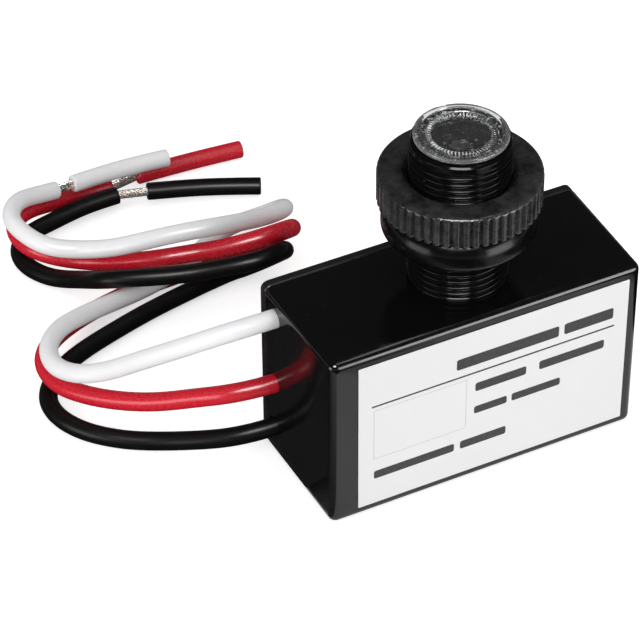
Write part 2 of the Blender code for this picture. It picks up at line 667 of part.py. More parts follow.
def build_drums():
    """The capacitor in its can, standing on the board, and the disc of the varistor, standing on its rim."""
    x, z, radius = along(CAN_X), up(CAN_Z), span(CAN_RADIUS)
    rod("electrolytic_capacitor", (x, BOARD_SEAT_Y, z), (x, out(CAN_STAND), z), radius,
        finish("can_black", (0.03, 0.03, 0.04), 0.3), sides=28, edge=radius / 10)
    radius = span(VARISTOR_RADIUS)
    y, z = BOARD_SEAT_Y - radius * VARISTOR_OVERHANG, up(VARISTOR_Z)
    rod("varistor", (along(VARISTOR_X[0]), y, z), (along(VARISTOR_X[1]), y, z), radius,
        finish("varistor_blue", (0.02, 0.16, 0.45), 0.4), sides=24, edge=radius / 4.5)


def build_components():
    """Everything soldered to the front of the board."""
    on_board("relay", RELAY_X, RELAY_Z, RELAY_STAND, finish("relay_blue", (0.02, 0.10, 0.35), 0.4))
    on_board("film_capacitor", FILM_CAPACITOR_X, FILM_CAPACITOR_Z, FILM_CAPACITOR_STAND,
             finish("film_red", (0.45, 0.05, 0.03), 0.35))
    build_drums()
    epoxy = finish("epoxy_black", (0.02, 0.02, 0.02), 0.5)
    for number in range(4):
        lying_on_board(f"rectifier_diode_{number + 1}", DIODE_X, DIODE_Z + number * DIODE_PITCH,
                       DIODE_LENGTH, DIODE_RADIUS, epoxy)
    tan = finish("resistor_tan", (0.55, 0.40, 0.22), 0.55)
    lying_on_board("dropper_resistor", RESISTOR_X, DROPPER_Z, DROPPER_LENGTH, DROPPER_RADIUS, tan)
    lying_on_board("sense_resistor", RESISTOR_X, SENSE_Z, SMALL_RESISTOR_LENGTH, SMALL_RESISTOR_RADIUS, tan)
    lying_on_board("delay_resistor", DELAY_X, DELAY_Z, SMALL_RESISTOR_LENGTH, SMALL_RESISTOR_RADIUS, tan)
    lying_on_board("zener_diode", ZENER_X, ZENER_Z, ZENER_LENGTH, ZENER_RADIUS,
                   finish("diode_glass", (0.60, 0.20, 0.08), 0.2))
    build_transistor(epoxy)


def build():
    clear_scene()
    build_case(finish("case_black", (0.012, 0.012, 0.014), 0.22))
    build_cover(finish("cover_black", (0.015, 0.015, 0.017), 0.35))
    build_lens(finish("lens_clear", (0.90, 0.92, 0.90), 0.05, alpha=0.35))
    build_sleeve(finish("sleeve_grey", (0.10, 0.10, 0.11), 0.5))
    build_sensor(finish("sensor_face", (0.45, 0.20, 0.09), 0.4))
    build_sensor_leads(finish("sensor_wire", (0.60, 0.60, 0.60), 0.3, metallic=1.0))
    build_gasket(finish("gasket_rubber", (0.02, 0.02, 0.02), 0.5))
    build_nut(finish("nut_black", (0.025, 0.025, 0.027), 0.5))
    build_label(finish("label_white", (0.85, 0.85, 0.85), 0.5))
    build_board(finish("board_green", (0.03, 0.18, 0.07), 0.5))
    build_components()
    copper = finish("tinned_copper", (0.62, 0.58, 0.54), 0.35, metallic=1.0)
    build_lead("white", WHITE_EXIT, WHITE_ROUTE_MM, WHITE_SLUG_MM,
               finish("insulation_white", (0.83, 0.83, 0.84), 0.35), copper)
    build_lead("red", RED_EXIT, RED_ROUTE_MM, RED_SLUG_MM,
               finish("insulation_red", (0.60, 0.012, 0.03), 0.35), copper)
    build_lead("black", BLACK_EXIT, BLACK_ROUTE_MM, BLACK_SLUG_MM,
               finish("insulation_black", (0.012, 0.012, 0.012), 0.3), copper)


build()
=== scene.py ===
"""Looks of a button photocell switch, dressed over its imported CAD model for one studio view.

A black moulded box carries a threaded neck with a clear lens, a ribbed ring nut and a rubber gasket.
Its front has a pale label, and three stripped leads leave its left end and lie folded behind it.
All sizes are metres in the frame of the CAD model: the origin is the middle of the box's bottom face,
+Z runs up the neck, -Y is the labelled front and -X is the end that the leads leave.
"""

import logging
import math
from dataclasses import dataclass
from enum import Enum
from functools import cache
from typing import Sequence

import bmesh
import bpy
import numpy as np
from mathutils import Matrix, Vector


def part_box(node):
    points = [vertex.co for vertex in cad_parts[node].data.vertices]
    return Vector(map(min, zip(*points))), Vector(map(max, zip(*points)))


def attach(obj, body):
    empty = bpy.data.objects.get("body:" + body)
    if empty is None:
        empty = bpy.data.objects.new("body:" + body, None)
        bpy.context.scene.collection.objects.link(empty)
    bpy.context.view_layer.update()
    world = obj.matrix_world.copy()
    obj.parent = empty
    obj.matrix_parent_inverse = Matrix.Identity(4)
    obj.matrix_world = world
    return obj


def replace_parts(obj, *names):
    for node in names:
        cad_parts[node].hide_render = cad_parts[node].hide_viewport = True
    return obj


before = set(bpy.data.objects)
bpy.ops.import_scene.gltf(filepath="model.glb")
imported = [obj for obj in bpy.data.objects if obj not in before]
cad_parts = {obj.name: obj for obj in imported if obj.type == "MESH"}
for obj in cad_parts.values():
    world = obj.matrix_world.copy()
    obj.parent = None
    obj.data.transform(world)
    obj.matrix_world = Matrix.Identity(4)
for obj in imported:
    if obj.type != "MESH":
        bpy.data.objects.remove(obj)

LOG = logging.getLogger("photocell_switch")
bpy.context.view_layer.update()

Array = np.ndarray
Colour = tuple[float, float, float]
Point = tuple[float, float, float]
Socket = bpy.types.NodeSocket

MM = 0.001
TURN = 2 * math.pi
SPECK_SCALE = 700.0
SWELL_SCALE = 90.0
COAT_ROUGHNESS = 0.08
LIGHT_DEPTH = 0.0008


# ---------------------------------------------------------------- meshes from whole arrays


def grid_faces(rows: int, columns: int, rows_close: bool = True) -> Array:
    """Corner numbers of the quads of a grid whose columns close on themselves.

    Quad (i, j) joins points (i, j), (i, j + 1), (i + 1, j + 1) and (i + 1, j), and point (i, j) has
    the number i times columns plus j.

    Args:
        rows: How many rows of points there are.
        columns: How many points each row has.
        rows_close: Whether the last row joins the first.

    Returns:
        An array of four corner numbers for each quad.
    """
    i, j = np.meshgrid(np.arange(rows if rows_close else rows - 1), np.arange(columns), indexing="ij")
    below, beside = (i + 1) % rows, (j + 1) % columns
    corners = [i * columns + j, i * columns + beside, below * columns + beside, below * columns + j]
    return np.stack(corners, axis=-1).reshape(-1, 4)


def grid_map(rows: int, columns: int, rows_close: bool = True) -> Array:
    """Map coordinates of each quad's corners: U counts rows and V is the share of the way round.

    Args:
        rows: How many rows of points there are.
        columns: How many points each row has.
        rows_close: Whether the last row joins the first.

    Returns:
        An array of U and V for each of the four corners of each quad.
    """
    i, j = np.meshgrid(np.arange(rows if rows_close else rows - 1), np.arange(columns), indexing="ij")
    u = np.stack([i, i, i + 1, i + 1], axis=-1)
    v = np.stack([j, j + 1, j + 1, j], axis=-1) / columns
    return np.stack([u, v], axis=-1).reshape(-1, 2)


def closed_piece(name: str, points: Array, faces: Array, sharp: float = 35.0,
                 chart: Array | None = None) -> bpy.types.Object:
    """Makes an object of points and quads, welds its seams and poles, and turns its faces outwards.

    Args:
        name: The object's name.
        points: Any array whose last axis is X, Y and Z.
        faces: Four corner numbers for each quad.
        sharp: Edges that turn by more than this many degrees are drawn sharp.
        chart: Map coordinates of each quad's corners, where a pattern follows the surface.

    Returns:
        The object, at the origin and linked to the scene.
    """
    mesh = bpy.data.meshes.new(name)
    mesh.from_pydata(points.reshape(-1, 3).tolist(), [], faces.tolist())
    if chart is not None:
        mesh.uv_layers.new(name="UVMap").data.foreach_set("uv", chart.astype(np.float32).ravel())
    form = bmesh.new()
    form.from_mesh(mesh)
    bmesh.ops.remove_doubles(form, verts=form.verts, dist=1e-7)
    bmesh.ops.delete(form, geom=[edge for edge in form.edges if not edge.link_faces], context="EDGES")
    bmesh.ops.recalc_face_normals(form, faces=form.faces)
    form.to_mesh(mesh)
    form.free()
    mesh.shade_smooth()
    mesh.set_sharp_from_angle(angle=math.radians(sharp))
    piece = bpy.data.objects.new(name, mesh)
    bpy.context.scene.collection.objects.link(piece)
    return piece


def eased(corners: Sequence[tuple[float, float]], ease: float | Sequence[float], steps: int = 6) -> Array:
    """Rounds the corners of a closed profile.

    Each corner B becomes the curve (1-t)^2 A + 2t(1-t) B + t^2 C, where A and C lie the length of the
    ease before and after it on its two sides.

    Args:
        corners: The profile's corners, as two numbers each.
        ease: How far from each corner its curve starts, for all of them or for each.
        steps: How many points each curve has.

    Returns:
        The points of the rounded profile.
    """
    middle = np.array(corners, float)
    back, ahead = np.roll(middle, 1, axis=0) - middle, np.roll(middle, -1, axis=0) - middle
    back_length = np.linalg.norm(back, axis=1, keepdims=True)
    ahead_length = np.linalg.norm(ahead, axis=1, keepdims=True)
    reach = np.broadcast_to(np.asarray(ease, float), len(middle))[:, None]
    reach = np.minimum(reach, 0.48 * np.minimum(back_length, ahead_length))
    start, end = middle + back / back_length * reach, middle + ahead / ahead_length * reach
    t = np.linspace(0, 1, steps)[None, :, None]
    curve = (1 - t) ** 2 * start[:, None] + 2 * t * (1 - t) * middle[:, None] + t**2 * end[:, None]
    return curve.reshape(-1, 2)


def about_axis(radius: Array, height: Array, columns: int, centre: tuple[float, float]) -> Array:
    """Points of a surface round a vertical axis.

    Point (i, j) stands at angle 2 pi j / columns, at radius (i, j) and height (i, j).

    Args:
        radius: Radii, by row, or by row and column.
        height: Heights, by row, or by row and column.
        columns: How many points go round.
        centre: X and Y of the axis.

    Returns:
        The points, by row and column.
    """
    radius = radius[:, None] if radius.ndim == 1 else radius
    height = height[:, None] if height.ndim == 1 else height
    angle = np.arange(columns) * TURN / columns
    x, y, z = np.broadcast_arrays(centre[0] + radius * np.cos(angle), centre[1] + radius * np.sin(angle), height)
    return np.stack([x, y, z], axis=-1)


def stacked(parts: Sequence[Array], columns: int) -> Array:
    """Parts of a grid under each other, where a part of one column goes all the way round."""
    return np.concatenate([np.broadcast_to(part, (len(part), columns)) for part in parts])


def rounded_loop(half_width: Array, half_height: Array, radius: Array, steps: int = 8) -> Array:
    """Points round upright rectangles with round corners, all with the same count.

    The corner in the quarter that starts at angle q is the arc of that radius from q to q + 90
    degrees about the point that lies the radius inside both sides.

    Args:
        half_width: Half of each rectangle's width.
        half_height: Half of each rectangle's height.
        radius: Each rectangle's corner radius.
        steps: How many points each corner has.

    Returns:
        The two coordinates of each point, by rectangle and by point round it.
    """
    first = np.repeat(np.arange(4) * math.pi / 2, steps)
    angle = first + np.tile(np.linspace(0, math.pi / 2, steps), 4)
    side, top = np.sign(np.cos(first + math.pi / 4)), np.sign(np.sin(first + math.pi / 4))
    x = (half_width - radius)[:, None] * side + radius[:, None] * np.cos(angle)
    z = (half_height - radius)[:, None] * top + radius[:, None] * np.sin(angle)
    return np.stack([x, z], axis=-1)


def smooth_path(points: Sequence[Point] | Array, step: float) -> Array:
    """Evenly spaced points on the natural cubic through the given ones.

    The cubic's second derivative m solves, at each inner point, g0 m0 + 2 (g0 + g1) m1 + g1 m2 =
    6 (slope after - slope before), where g is the distance between neighbours, and is 0 at both ends.

    Args:
        points: The points that the path goes through.
        step: About how far apart the new points are.

    Returns:
        The points of the path.
    """
    knots = np.array(points, float)
    gap = np.linalg.norm(np.diff(knots, axis=0), axis=1)
    at = np.concatenate(([0.0], np.cumsum(gap)))
    slope = np.diff(knots, axis=0) / gap[:, None]
    inner = np.diag(2 * (gap[:-1] + gap[1:])) + np.diag(gap[1:-1], 1) + np.diag(gap[1:-1], -1)
    bend = np.zeros_like(knots)
    bend[1:-1] = np.linalg.solve(inner, 6 * np.diff(slope, axis=0))
    where = np.linspace(0, at[-1], max(3, round(at[-1] / step) + 1))
    k = np.clip(np.searchsorted(at, where, side="right") - 1, 0, len(gap) - 1)
    after, before, width = (where - at[k])[:, None], (at[k + 1] - where)[:, None], gap[k][:, None]
    path = (bend[k] * before**3 + bend[k + 1] * after**3) / (6 * width)
    path += (knots[k] / width - bend[k] * width / 6) * before
    return path + (knots[k + 1] / width - bend[k + 1] * width / 6) * after


@dataclass(frozen=True)
class Sweep:
    """A path that round sections are carried along."""

    path: Array

    @property
    def at(self) -> Array:
        """Distance of each point of the path from its start."""
        return np.concatenate(([0.0], np.cumsum(np.linalg.norm(np.diff(self.path, axis=0), axis=1))))

    @property
    def length(self) -> float:
        """Length of the path."""
        return float(self.at[-1])

    def frames(self, distance: Array) -> tuple[Array, Array, Array]:
        """Places on the path, and two directions across it: one level, one square to that.

        The level direction is that of Z crossed with the path's own direction.

        Args:
            distance: How far along the path each place is.

        Returns:
            The places, the level directions and the directions square to them.
        """
        at = self.at
        place = np.stack([np.interp(distance, at, self.path[:, axis]) for axis in range(3)], axis=-1)
        slope = np.gradient(self.path, at, axis=0)
        along = np.stack([np.interp(distance, at, slope[:, axis]) for axis in range(3)], axis=-1)
        along /= np.linalg.norm(along, axis=-1, keepdims=True)
        level = np.cross([0.0, 0.0, 1.0], along)
        level /= np.linalg.norm(level, axis=-1, keepdims=True)
        return place, level, np.cross(along, level)

    def tube(self, distance: Array, radius: Array, columns: int) -> Array:
        """Points of a round surface: place + radius (cos a level + sin a square), for a round the path.

        Args:
            distance: How far along the path each row is.
            radius: The radius of each row.
            columns: How many points go round.

        Returns:
            The points, by row and column.
        """
        place, level, square = self.frames(distance)
        angle = (np.arange(columns) * TURN / columns)[None, :, None]
        across = np.cos(angle) * level[:, None] + np.sin(angle) * square[:, None]
        return place[:, None] + radius[:, None, None] * across


# ---------------------------------------------------------------- finishes


class Space(Enum):
    """What a pattern's coordinates follow."""

    OBJECT = "Object"
    SURFACE = "UV"


class Nodes:
    """The nodes of a material or of the surround, with a short call for each kind that they use."""

    def __init__(self, tree: bpy.types.NodeTree) -> None:
        """Takes up the tree that the nodes go into."""
        self.tree = tree

    def node(self, kind: str) -> bpy.types.Node:
        """Adds a node by its type, without its prefix."""
        return self.tree.nodes.new(f"ShaderNode{kind}")

    def join(self, source: Socket, target: Socket) -> None:
        """Links two sockets."""
        self.tree.links.new(source, target)

    def place(self, space: Space, scale: Point = (1.0, 1.0, 1.0)) -> Socket:
        """Coordinates of the surface, stretched by a scale.

        Args:
            space: What the coordinates follow.
            scale: How much each coordinate is multiplied by.

        Returns:
            The socket that carries them.
        """
        source = self.node("TexCoord")
        stretch = self.node("Mapping")
        stretch.inputs["Scale"].default_value = scale
        self.join(source.outputs[space.value], stretch.inputs["Vector"])
        return stretch.outputs["Vector"]

    def part(self, place: Socket, name: str) -> Socket:
        """One coordinate of a place.

        Args:
            place: The place.
            name: X, Y or Z.

        Returns:
            The socket that carries it.
        """
        made = self.node("SeparateXYZ")
        self.join(place, made.inputs["Vector"])
        return made.outputs[name]

    def noise(self, place: Socket, scale: float, detail: float = 3.0, rough: float = 0.55) -> Socket:
        """Cloudy noise from 0 to 1.

        Args:
            place: Where the noise is read.
            scale: How many cells it has in a metre.
            detail: How many finer layers it has.
            rough: How strong the finer layers are.

        Returns:
            The socket that carries it.
        """
        made = self.node("TexNoise")
        self.join(place, made.inputs["Vector"])
        made.inputs["Scale"].default_value = scale
        made.inputs["Detail"].default_value = detail
        made.inputs["Roughness"].default_value = rough
        return made.outputs["Fac"]

    def specks(self, place: Socket, scale: float, size: float) -> Socket:
        """Sparse round specks: 1 in a speck and 0 between.

        Args:
            place: Where the specks are read.
            scale: How many cells there are in a metre.
            size: The radius of a speck, as a share of a cell.

        Returns:
            The socket that carries them.
        """
        cells = self.node("TexVoronoi")
        self.join(place, cells.inputs["Vector"])
        cells.inputs["Scale"].default_value = scale
        return self.level(cells.outputs["Distance"], (size, size * 0.6), (0.0, 1.0))

    def level(self, value: Socket, spread: tuple[float, float], to: tuple[float, float]) -> Socket:
        """Maps a value from one range to another, and stops at its ends.

        Args:
            value: The value.
            spread: The range that it is taken from.
            to: The range that it is brought to.

        Returns:
            The socket that carries the result.
        """
        made = self.node("MapRange")
        self.join(value, made.inputs["Value"])
        for name, number in zip(("From Min", "From Max", "To Min", "To Max"), (*spread, *to)):
            made.inputs[name].default_value = number
        return made.outputs["Result"]

    def sum(self, first: Socket, operation: str, second: Socket | float | None = None) -> Socket:
        """Works one sum out.

        Args:
            first: The first value.
            operation: The sum's name, as the Math node has it.
            second: The second value, if the sum has one.

        Returns:
            The socket that carries the result.
        """
        made = self.node("Math")
        made.operation = operation
        self.join(first, made.inputs[0])
        if isinstance(second, float):
            made.inputs[1].default_value = second
        elif second is not None:
            self.join(second, made.inputs[1])
        return made.outputs["Value"]

    def tones(self, value: Socket, stops: Sequence[tuple[float, Colour]], stepped: bool = False) -> Socket:
        """Colours along a value.

        Args:
            value: The value, from 0 to 1.
            stops: Where each colour stands, and the colour.
            stepped: Whether each colour holds until the next.

        Returns:
            The socket that carries the colour.
        """
        ramp = self.node("ValToRGB")
        self.join(value, ramp.inputs["Fac"])
        ramp.color_ramp.interpolation = "CONSTANT" if stepped else "LINEAR"
        marks = ramp.color_ramp.elements
        while len(marks) < len(stops):
            marks.new(1.0)
        for mark, (where, colour) in zip(marks, stops):
            mark.position, mark.color = where, (*colour, 1.0)
        return ramp.outputs["Color"]

    def over(self, mask: Socket, under: Socket, colour: Colour) -> Socket:
        """One colour laid over another where a mask is 1.

        Args:
            mask: Where it is laid.
            under: The colour below.
            colour: The colour on top.

        Returns:
            The socket that carries the result.
        """
        made = self.node("Mix")
        made.data_type = "RGBA"
        self.join(mask, made.inputs["Factor"])
        self.join(under, made.inputs["A"])
        made.inputs["B"].default_value = (*colour, 1.0)
        return made.outputs["Result"]

    def bump(self, height: Socket, metres: float, under: Socket | None = None) -> Socket:
        """Tilts the surface by a height.

        Args:
            height: The height, from 0 to 1.
            metres: How high 1 is.
            under: A bump that this one lies on.

        Returns:
            The socket that carries the normal.
        """
        made = self.node("Bump")
        made.inputs["Distance"].default_value = metres
        self.join(height, made.inputs["Height"])
        if under is not None:
            self.join(under, made.inputs["Normal"])
        return made.outputs["Normal"]


class Sheet(Nodes):
    """The nodes of one material, around its surface shader."""

    def __init__(self, name: str) -> None:
        """Starts a material that holds one surface shader.

        Args:
            name: The material's name.
        """
        self.material = bpy.data.materials.new(name)
        self.material.use_nodes = True
        super().__init__(self.material.node_tree)
        self.shader = self.tree.nodes["Principled BSDF"]

    def set(self, **values: object) -> None:
        """Sets the shader's own sockets; an underscore in a name stands for a space."""
        for name, value in values.items():
            self.shader.inputs[name.replace("_", " ")].default_value = value


def tinted(colour: Colour, share: float) -> Colour:
    """A colour made lighter or darker by a share of itself."""
    return tuple(min(1.0, part * (1 + share)) for part in colour)


@dataclass(frozen=True)
class Finish:
    """A solid surface: a tone that drifts, a roughness that drifts, a fine grain and stray specks."""

    name: str
    colour: Colour
    roughness: float
    drift: float = 0.12
    patch: float = 180.0
    gloss_drift: float = 0.06
    grain: float = 2500.0
    grain_height: float = 0.000004
    swell: float = 0.0
    specks: float = 0.0
    speck_colour: Colour = (0.3, 0.3, 0.3)
    stretch: Point = (1.0, 1.0, 1.0)
    space: Space = Space.OBJECT
    metallic: float = 0.0
    specular: float = 0.5
    coat: float = 0.0
    subsurface: float = 0.0

    def colours(self, sheet: Sheet, place: Socket) -> Socket:
        """The drifting tone of the surface.

        Args:
            sheet: The material's nodes.
            place: Where the pattern is read.

        Returns:
            The socket that carries the colour.
        """
        cloud = sheet.noise(place, self.patch, 4.0)
        return sheet.tones(cloud, [(0.3, tinted(self.colour, -self.drift)), (0.7, tinted(self.colour, self.drift))])

    def make(self) -> bpy.types.Material:
        """Builds the nodes of the finish.

        Returns:
            The material.
        """
        sheet = Sheet(self.name)
        place = sheet.place(self.space, self.stretch)
        colour = self.colours(sheet, place)
        if self.specks:
            dust = sheet.specks(sheet.place(Space.OBJECT), SPECK_SCALE, self.specks)
            colour = sheet.over(dust, colour, self.speck_colour)
        sheet.join(colour, sheet.shader.inputs["Base Color"])
        cloud = sheet.noise(place, self.patch * 3, 3.0)
        low, high = max(0.0, self.roughness - self.gloss_drift), self.roughness + self.gloss_drift
        sheet.join(sheet.level(cloud, (0.3, 0.7), (low, high)), sheet.shader.inputs["Roughness"])
        normal = sheet.bump(sheet.noise(place, self.grain, 2.0), self.grain_height)
        if self.swell:
            normal = sheet.bump(sheet.noise(place, SWELL_SCALE, 1.0), self.swell, normal)
        sheet.join(normal, sheet.shader.inputs["Normal"])
        sheet.set(Metallic=self.metallic, Specular_IOR_Level=self.specular, Coat_Weight=self.coat,
                  Coat_Roughness=COAT_ROUGHNESS, Subsurface_Weight=self.subsurface, Subsurface_Scale=LIGHT_DEPTH)
        return sheet.material


@cache
def made_once(finish: Finish) -> bpy.types.Material:
    """The material of a finish, kept for the next piece that has it."""
    return finish.make()


@dataclass(frozen=True)
class BandedFinish(Finish):
    """A finish with coloured bands across X between two places, such as a resistor's."""

    start: float = 0.0
    end: float = 1.0
    bands: tuple[tuple[float, Colour], ...] = ()

    def colours(self, sheet: Sheet, place: Socket) -> Socket:
        """The bands' colours, stepped along X.

        Args:
            sheet: The material's nodes.
            place: Where the pattern is read.

        Returns:
            The socket that carries the colour.
        """
        share = sheet.level(sheet.part(sheet.place(Space.OBJECT), "X"), (self.start, self.end), (0.0, 1.0))
        return sheet.tones(share, self.bands, stepped=True)


@dataclass(frozen=True)
class ClearFinish(Finish):
    """Clear moulded plastic about an upright axis, whose scattering paints light: a bright rim, glints on a
    ring of ribs and stray glints.

    Radii are from the axis. The rim's darker tint is painted shade, and a faint scattering over all of it
    is a painted reflection of a dim ceiling.
    """

    ior: float = 1.49
    axis: tuple[float, float] = (0.0, 0.0)
    rim: tuple[float, float] = (1.0, 2.0)
    # Scattering at the rim paints a highlight on the flange's edge.
    rim_painted_highlight: float = 0.0
    # A darker tint at the rim paints shade there.
    rim_painted_shade: Colour = (0.50, 0.50, 0.495)
    ring: tuple[float, float] = (1.0, 2.0)
    soft: float = 0.12 * MM
    ribs: int = 58
    # Scattering on the ribs paints glints on them.
    rib_painted_glint: float = 0.8
    rib_scale: float = 700.0
    # Stray spots of scattering paint glints.
    stray_painted_glint: float = 0.5
    glint_scale: float = 1500.0
    # A faint scattering everywhere paints the window's dim reflection.
    painted_reflection_veil: float = 0.015

    def about_axis(self, sheet: Sheet, place: Socket) -> tuple[Socket, Socket]:
        """Where a point of the surface is about the axis.

        Args:
            sheet: The material's nodes.
            place: The surface's coordinates.

        Returns:
            The sockets that carry the radius and the angle.
        """
        x = sheet.sum(sheet.part(place, "X"), "SUBTRACT", self.axis[0])
        y = sheet.sum(sheet.part(place, "Y"), "SUBTRACT", self.axis[1])
        square = sheet.sum(sheet.sum(x, "MULTIPLY", x), "ADD", sheet.sum(y, "MULTIPLY", y))
        return sheet.sum(square, "SQRT"), sheet.sum(y, "ARCTAN2", x)

    def painted_light_haze(self, sheet: Sheet, place: Socket, radius: Socket, angle: Socket) -> Socket:
        """How much of the light is scattered, all of it painted light: a dim reflection over all of it, the rim's
        highlight and the glints on the ribs and between them, together.

        A rib stands where the sine of the angle times the number of ribs is high.

        Args:
            sheet: The material's nodes.
            place: The surface's coordinates.
            radius: Distance from the axis.
            angle: Angle about the axis.

        Returns:
            The socket that carries the share.
        """
        wave = sheet.sum(sheet.sum(angle, "MULTIPLY", float(self.ribs)), "SINE")
        inner, outer = ((edge - self.soft, edge + self.soft) for edge in self.ring)
        inside = sheet.sum(sheet.level(radius, inner, (0.0, 1.0)), "MULTIPLY", sheet.level(radius, outer, (1.0, 0.0)))
        # Painted glints on the ribs, made patchy by noise.
        ribs = sheet.sum(sheet.level(wave, (0.1, 0.8), (0.0, self.rib_painted_glint)), "MULTIPLY", inside)
        patchy = sheet.level(sheet.noise(place, self.rib_scale, 2.0), (0.40, 0.58), (0.15, 1.0))
        # Painted stray glints, weaker inside the ring's inner edge.
        glints = sheet.level(sheet.noise(place, self.glint_scale), (0.61, 0.67), (0.0, self.stray_painted_glint))
        glints = sheet.sum(glints, "MULTIPLY", sheet.level(radius, inner, (0.4, 1.0)))
        # Painted highlight at the rim.
        edge = sheet.level(radius, self.rim, (0.0, self.rim_painted_highlight))
        share = sheet.sum(sheet.sum(ribs, "MULTIPLY", patchy), "MAXIMUM", edge)
        # The faint scattering everywhere is a painted reflection.
        return sheet.sum(sheet.sum(share, "MAXIMUM", glints), "MAXIMUM", self.painted_reflection_veil)

    def make(self) -> bpy.types.Material:
        """Builds the nodes of the finish.

        Returns:
            The material.
        """
        sheet = Sheet(self.name)
        place = sheet.place(self.space, self.stretch)
        radius, angle = self.about_axis(sheet, place)
        # A darker tint towards the rim is painted shade.
        edge = sheet.level(radius, self.rim, (0.0, 1.0))
        colour = sheet.over(edge, self.colours(sheet, place), self.rim_painted_shade)
        sheet.join(colour, sheet.shader.inputs["Base Color"])
        cloud = sheet.noise(place, self.patch, 3.0)
        rough = sheet.level(cloud, (0.35, 0.75), (self.roughness, self.roughness + self.gloss_drift))
        sheet.join(rough, sheet.shader.inputs["Roughness"])
        normal = sheet.bump(sheet.noise(place, self.grain, 2.0), self.grain_height)
        sheet.join(normal, sheet.shader.inputs["Normal"])
        clear = sheet.level(self.painted_light_haze(sheet, place, radius, angle), (0.0, 1.0), (1.0, 0.0))
        sheet.join(clear, sheet.shader.inputs["Transmission Weight"])
        sheet.set(IOR=self.ior)
        return sheet.material


BOX_BLACK = Finish("box_black", (0.0032, 0.0032, 0.0037), 0.13, gloss_drift=0.05, grain=5200.0,
                   grain_height=0.0000012, swell=0.000012, specks=0.035, speck_colour=(0.09, 0.09, 0.09))
COVER_BLACK = Finish("cover_black", (0.0115, 0.0115, 0.0105), 0.30, grain=3600.0, grain_height=0.000008)
NECK_BLACK = Finish("neck_black", (0.0030, 0.0030, 0.0033), 0.15, gloss_drift=0.06, grain=3000.0,
                    grain_height=0.000004, specks=0.03, specular=0.15)
NUT_BLACK = Finish("nut_black", (0.024, 0.024, 0.0242), 0.25, drift=0.6, patch=420.0, gloss_drift=0.2,
                   grain=2600.0, grain_height=0.00002, specks=0.05, speck_colour=(0.16, 0.16, 0.16))
GASKET_BLACK = Finish("gasket_black", (0.0028, 0.0028, 0.0032), 0.22, specular=0.17, drift=0.3, grain=3400.0,
                      grain_height=0.000007, specks=0.04, speck_colour=(0.08, 0.08, 0.08))
# The lens's rim tint is painted shade, and its scattering paints a rim highlight, glints and a dim reflection.
LENS_CLEAR = ClearFinish("lens_clear", (0.88, 0.89, 0.89), 0.02, drift=0.02, gloss_drift=0.05,
                         grain=900.0, grain_height=0.00002, axis=(0.0009, 0.0003),
                         rim=(0.0060, 0.0069), rim_painted_highlight=0.20, ring=(0.0043, 0.0050))
# Much darker than their own colours: painted shade inside the neck, seen through the lens.
SLEEVE_PAINTED_SHADE = Finish("sleeve_grey", (0.016, 0.016, 0.020), 0.45, grain=3000.0, grain_height=0.000006)
CERAMIC_PAINTED_SHADE = Finish("cell_ceramic", (0.075, 0.066, 0.058), 0.35, drift=0.1, grain=4000.0, coat=0.6)
TRACK_PAINTED_SHADE = Finish("cell_track", (0.040, 0.029, 0.024), 0.4, drift=0.2, patch=900.0, coat=0.8)
ELECTRODE = Finish("cell_electrode", (0.40, 0.40, 0.40), 0.3, metallic=1.0, patch=900.0)
TINNED = Finish("tinned_copper", (0.76, 0.72, 0.67), 0.30, drift=0.22, patch=1500.0, gloss_drift=0.1,
                metallic=1.0, grain=5000.0, grain_height=0.000006)
LABEL_WHITE = Finish("label_white", (0.80, 0.80, 0.805), 0.42, drift=0.008, patch=120.0, gloss_drift=0.03,
                     grain=4200.0, grain_height=0.000001)
PRINT_BLACK = Finish("print_black", (0.018, 0.018, 0.019), 0.45, drift=0.5, patch=1800.0, grain=5000.0)
PRINT_GREY = Finish("print_grey", (0.60, 0.60, 0.60), 0.45, drift=0.08, patch=1800.0, grain=5000.0)


def insulation(name: str, colour: Colour, roughness: float, drift: float, subsurface: float = 0.0,
               specular: float = 0.5) -> Finish:
    """Extruded insulation: its streaks and gloss run along the lead.

    Args:
        name: The finish's name.
        colour: Its colour.
        roughness: How rough it is.
        drift: How much the tone changes.
        subsurface: How much light goes into it.
        specular: How strong its gloss is.

    Returns:
        The finish.
    """
    return Finish(name, colour, roughness, drift=drift, patch=9.0, gloss_drift=0.04, grain=60.0,
                  grain_height=0.000003, specks=0.03, speck_colour=tinted(colour, 0.35),
                  stretch=(0.05, 1.6, 1.0), space=Space.SURFACE, specular=specular, subsurface=subsurface)


WHITE_PVC = insulation("insulation_white", (0.83, 0.83, 0.84), 0.34, 0.02, 0.10)
RED_PVC = insulation("insulation_red", (0.58, 0.009, 0.024), 0.27, 0.06)
BLACK_PVC = insulation("insulation_black", (0.0045, 0.0045, 0.0042), 0.33, 0.2, specular=0.20)


def coat(piece: bpy.types.Object, finish: Finish, slot: str) -> None:
    """Gives a piece its finish.

    Args:
        piece: The piece.
        finish: Its finish.
        slot: The record's material slot; not used.
    """
    piece.data.materials.clear()
    piece.data.materials.append(made_once(finish))


def dress(piece: bpy.types.Object, finish: Finish, slot: str) -> bpy.types.Object:
    """Coats a piece and puts it on the box's body.

    Args:
        piece: The piece.
        finish: Its finish.
        slot: The record's material slot; passed on to coat, where it is not used.

    Returns:
        The piece.
    """
    coat(piece, finish, slot)
    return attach(piece, "body")


# ---------------------------------------------------------------- the box


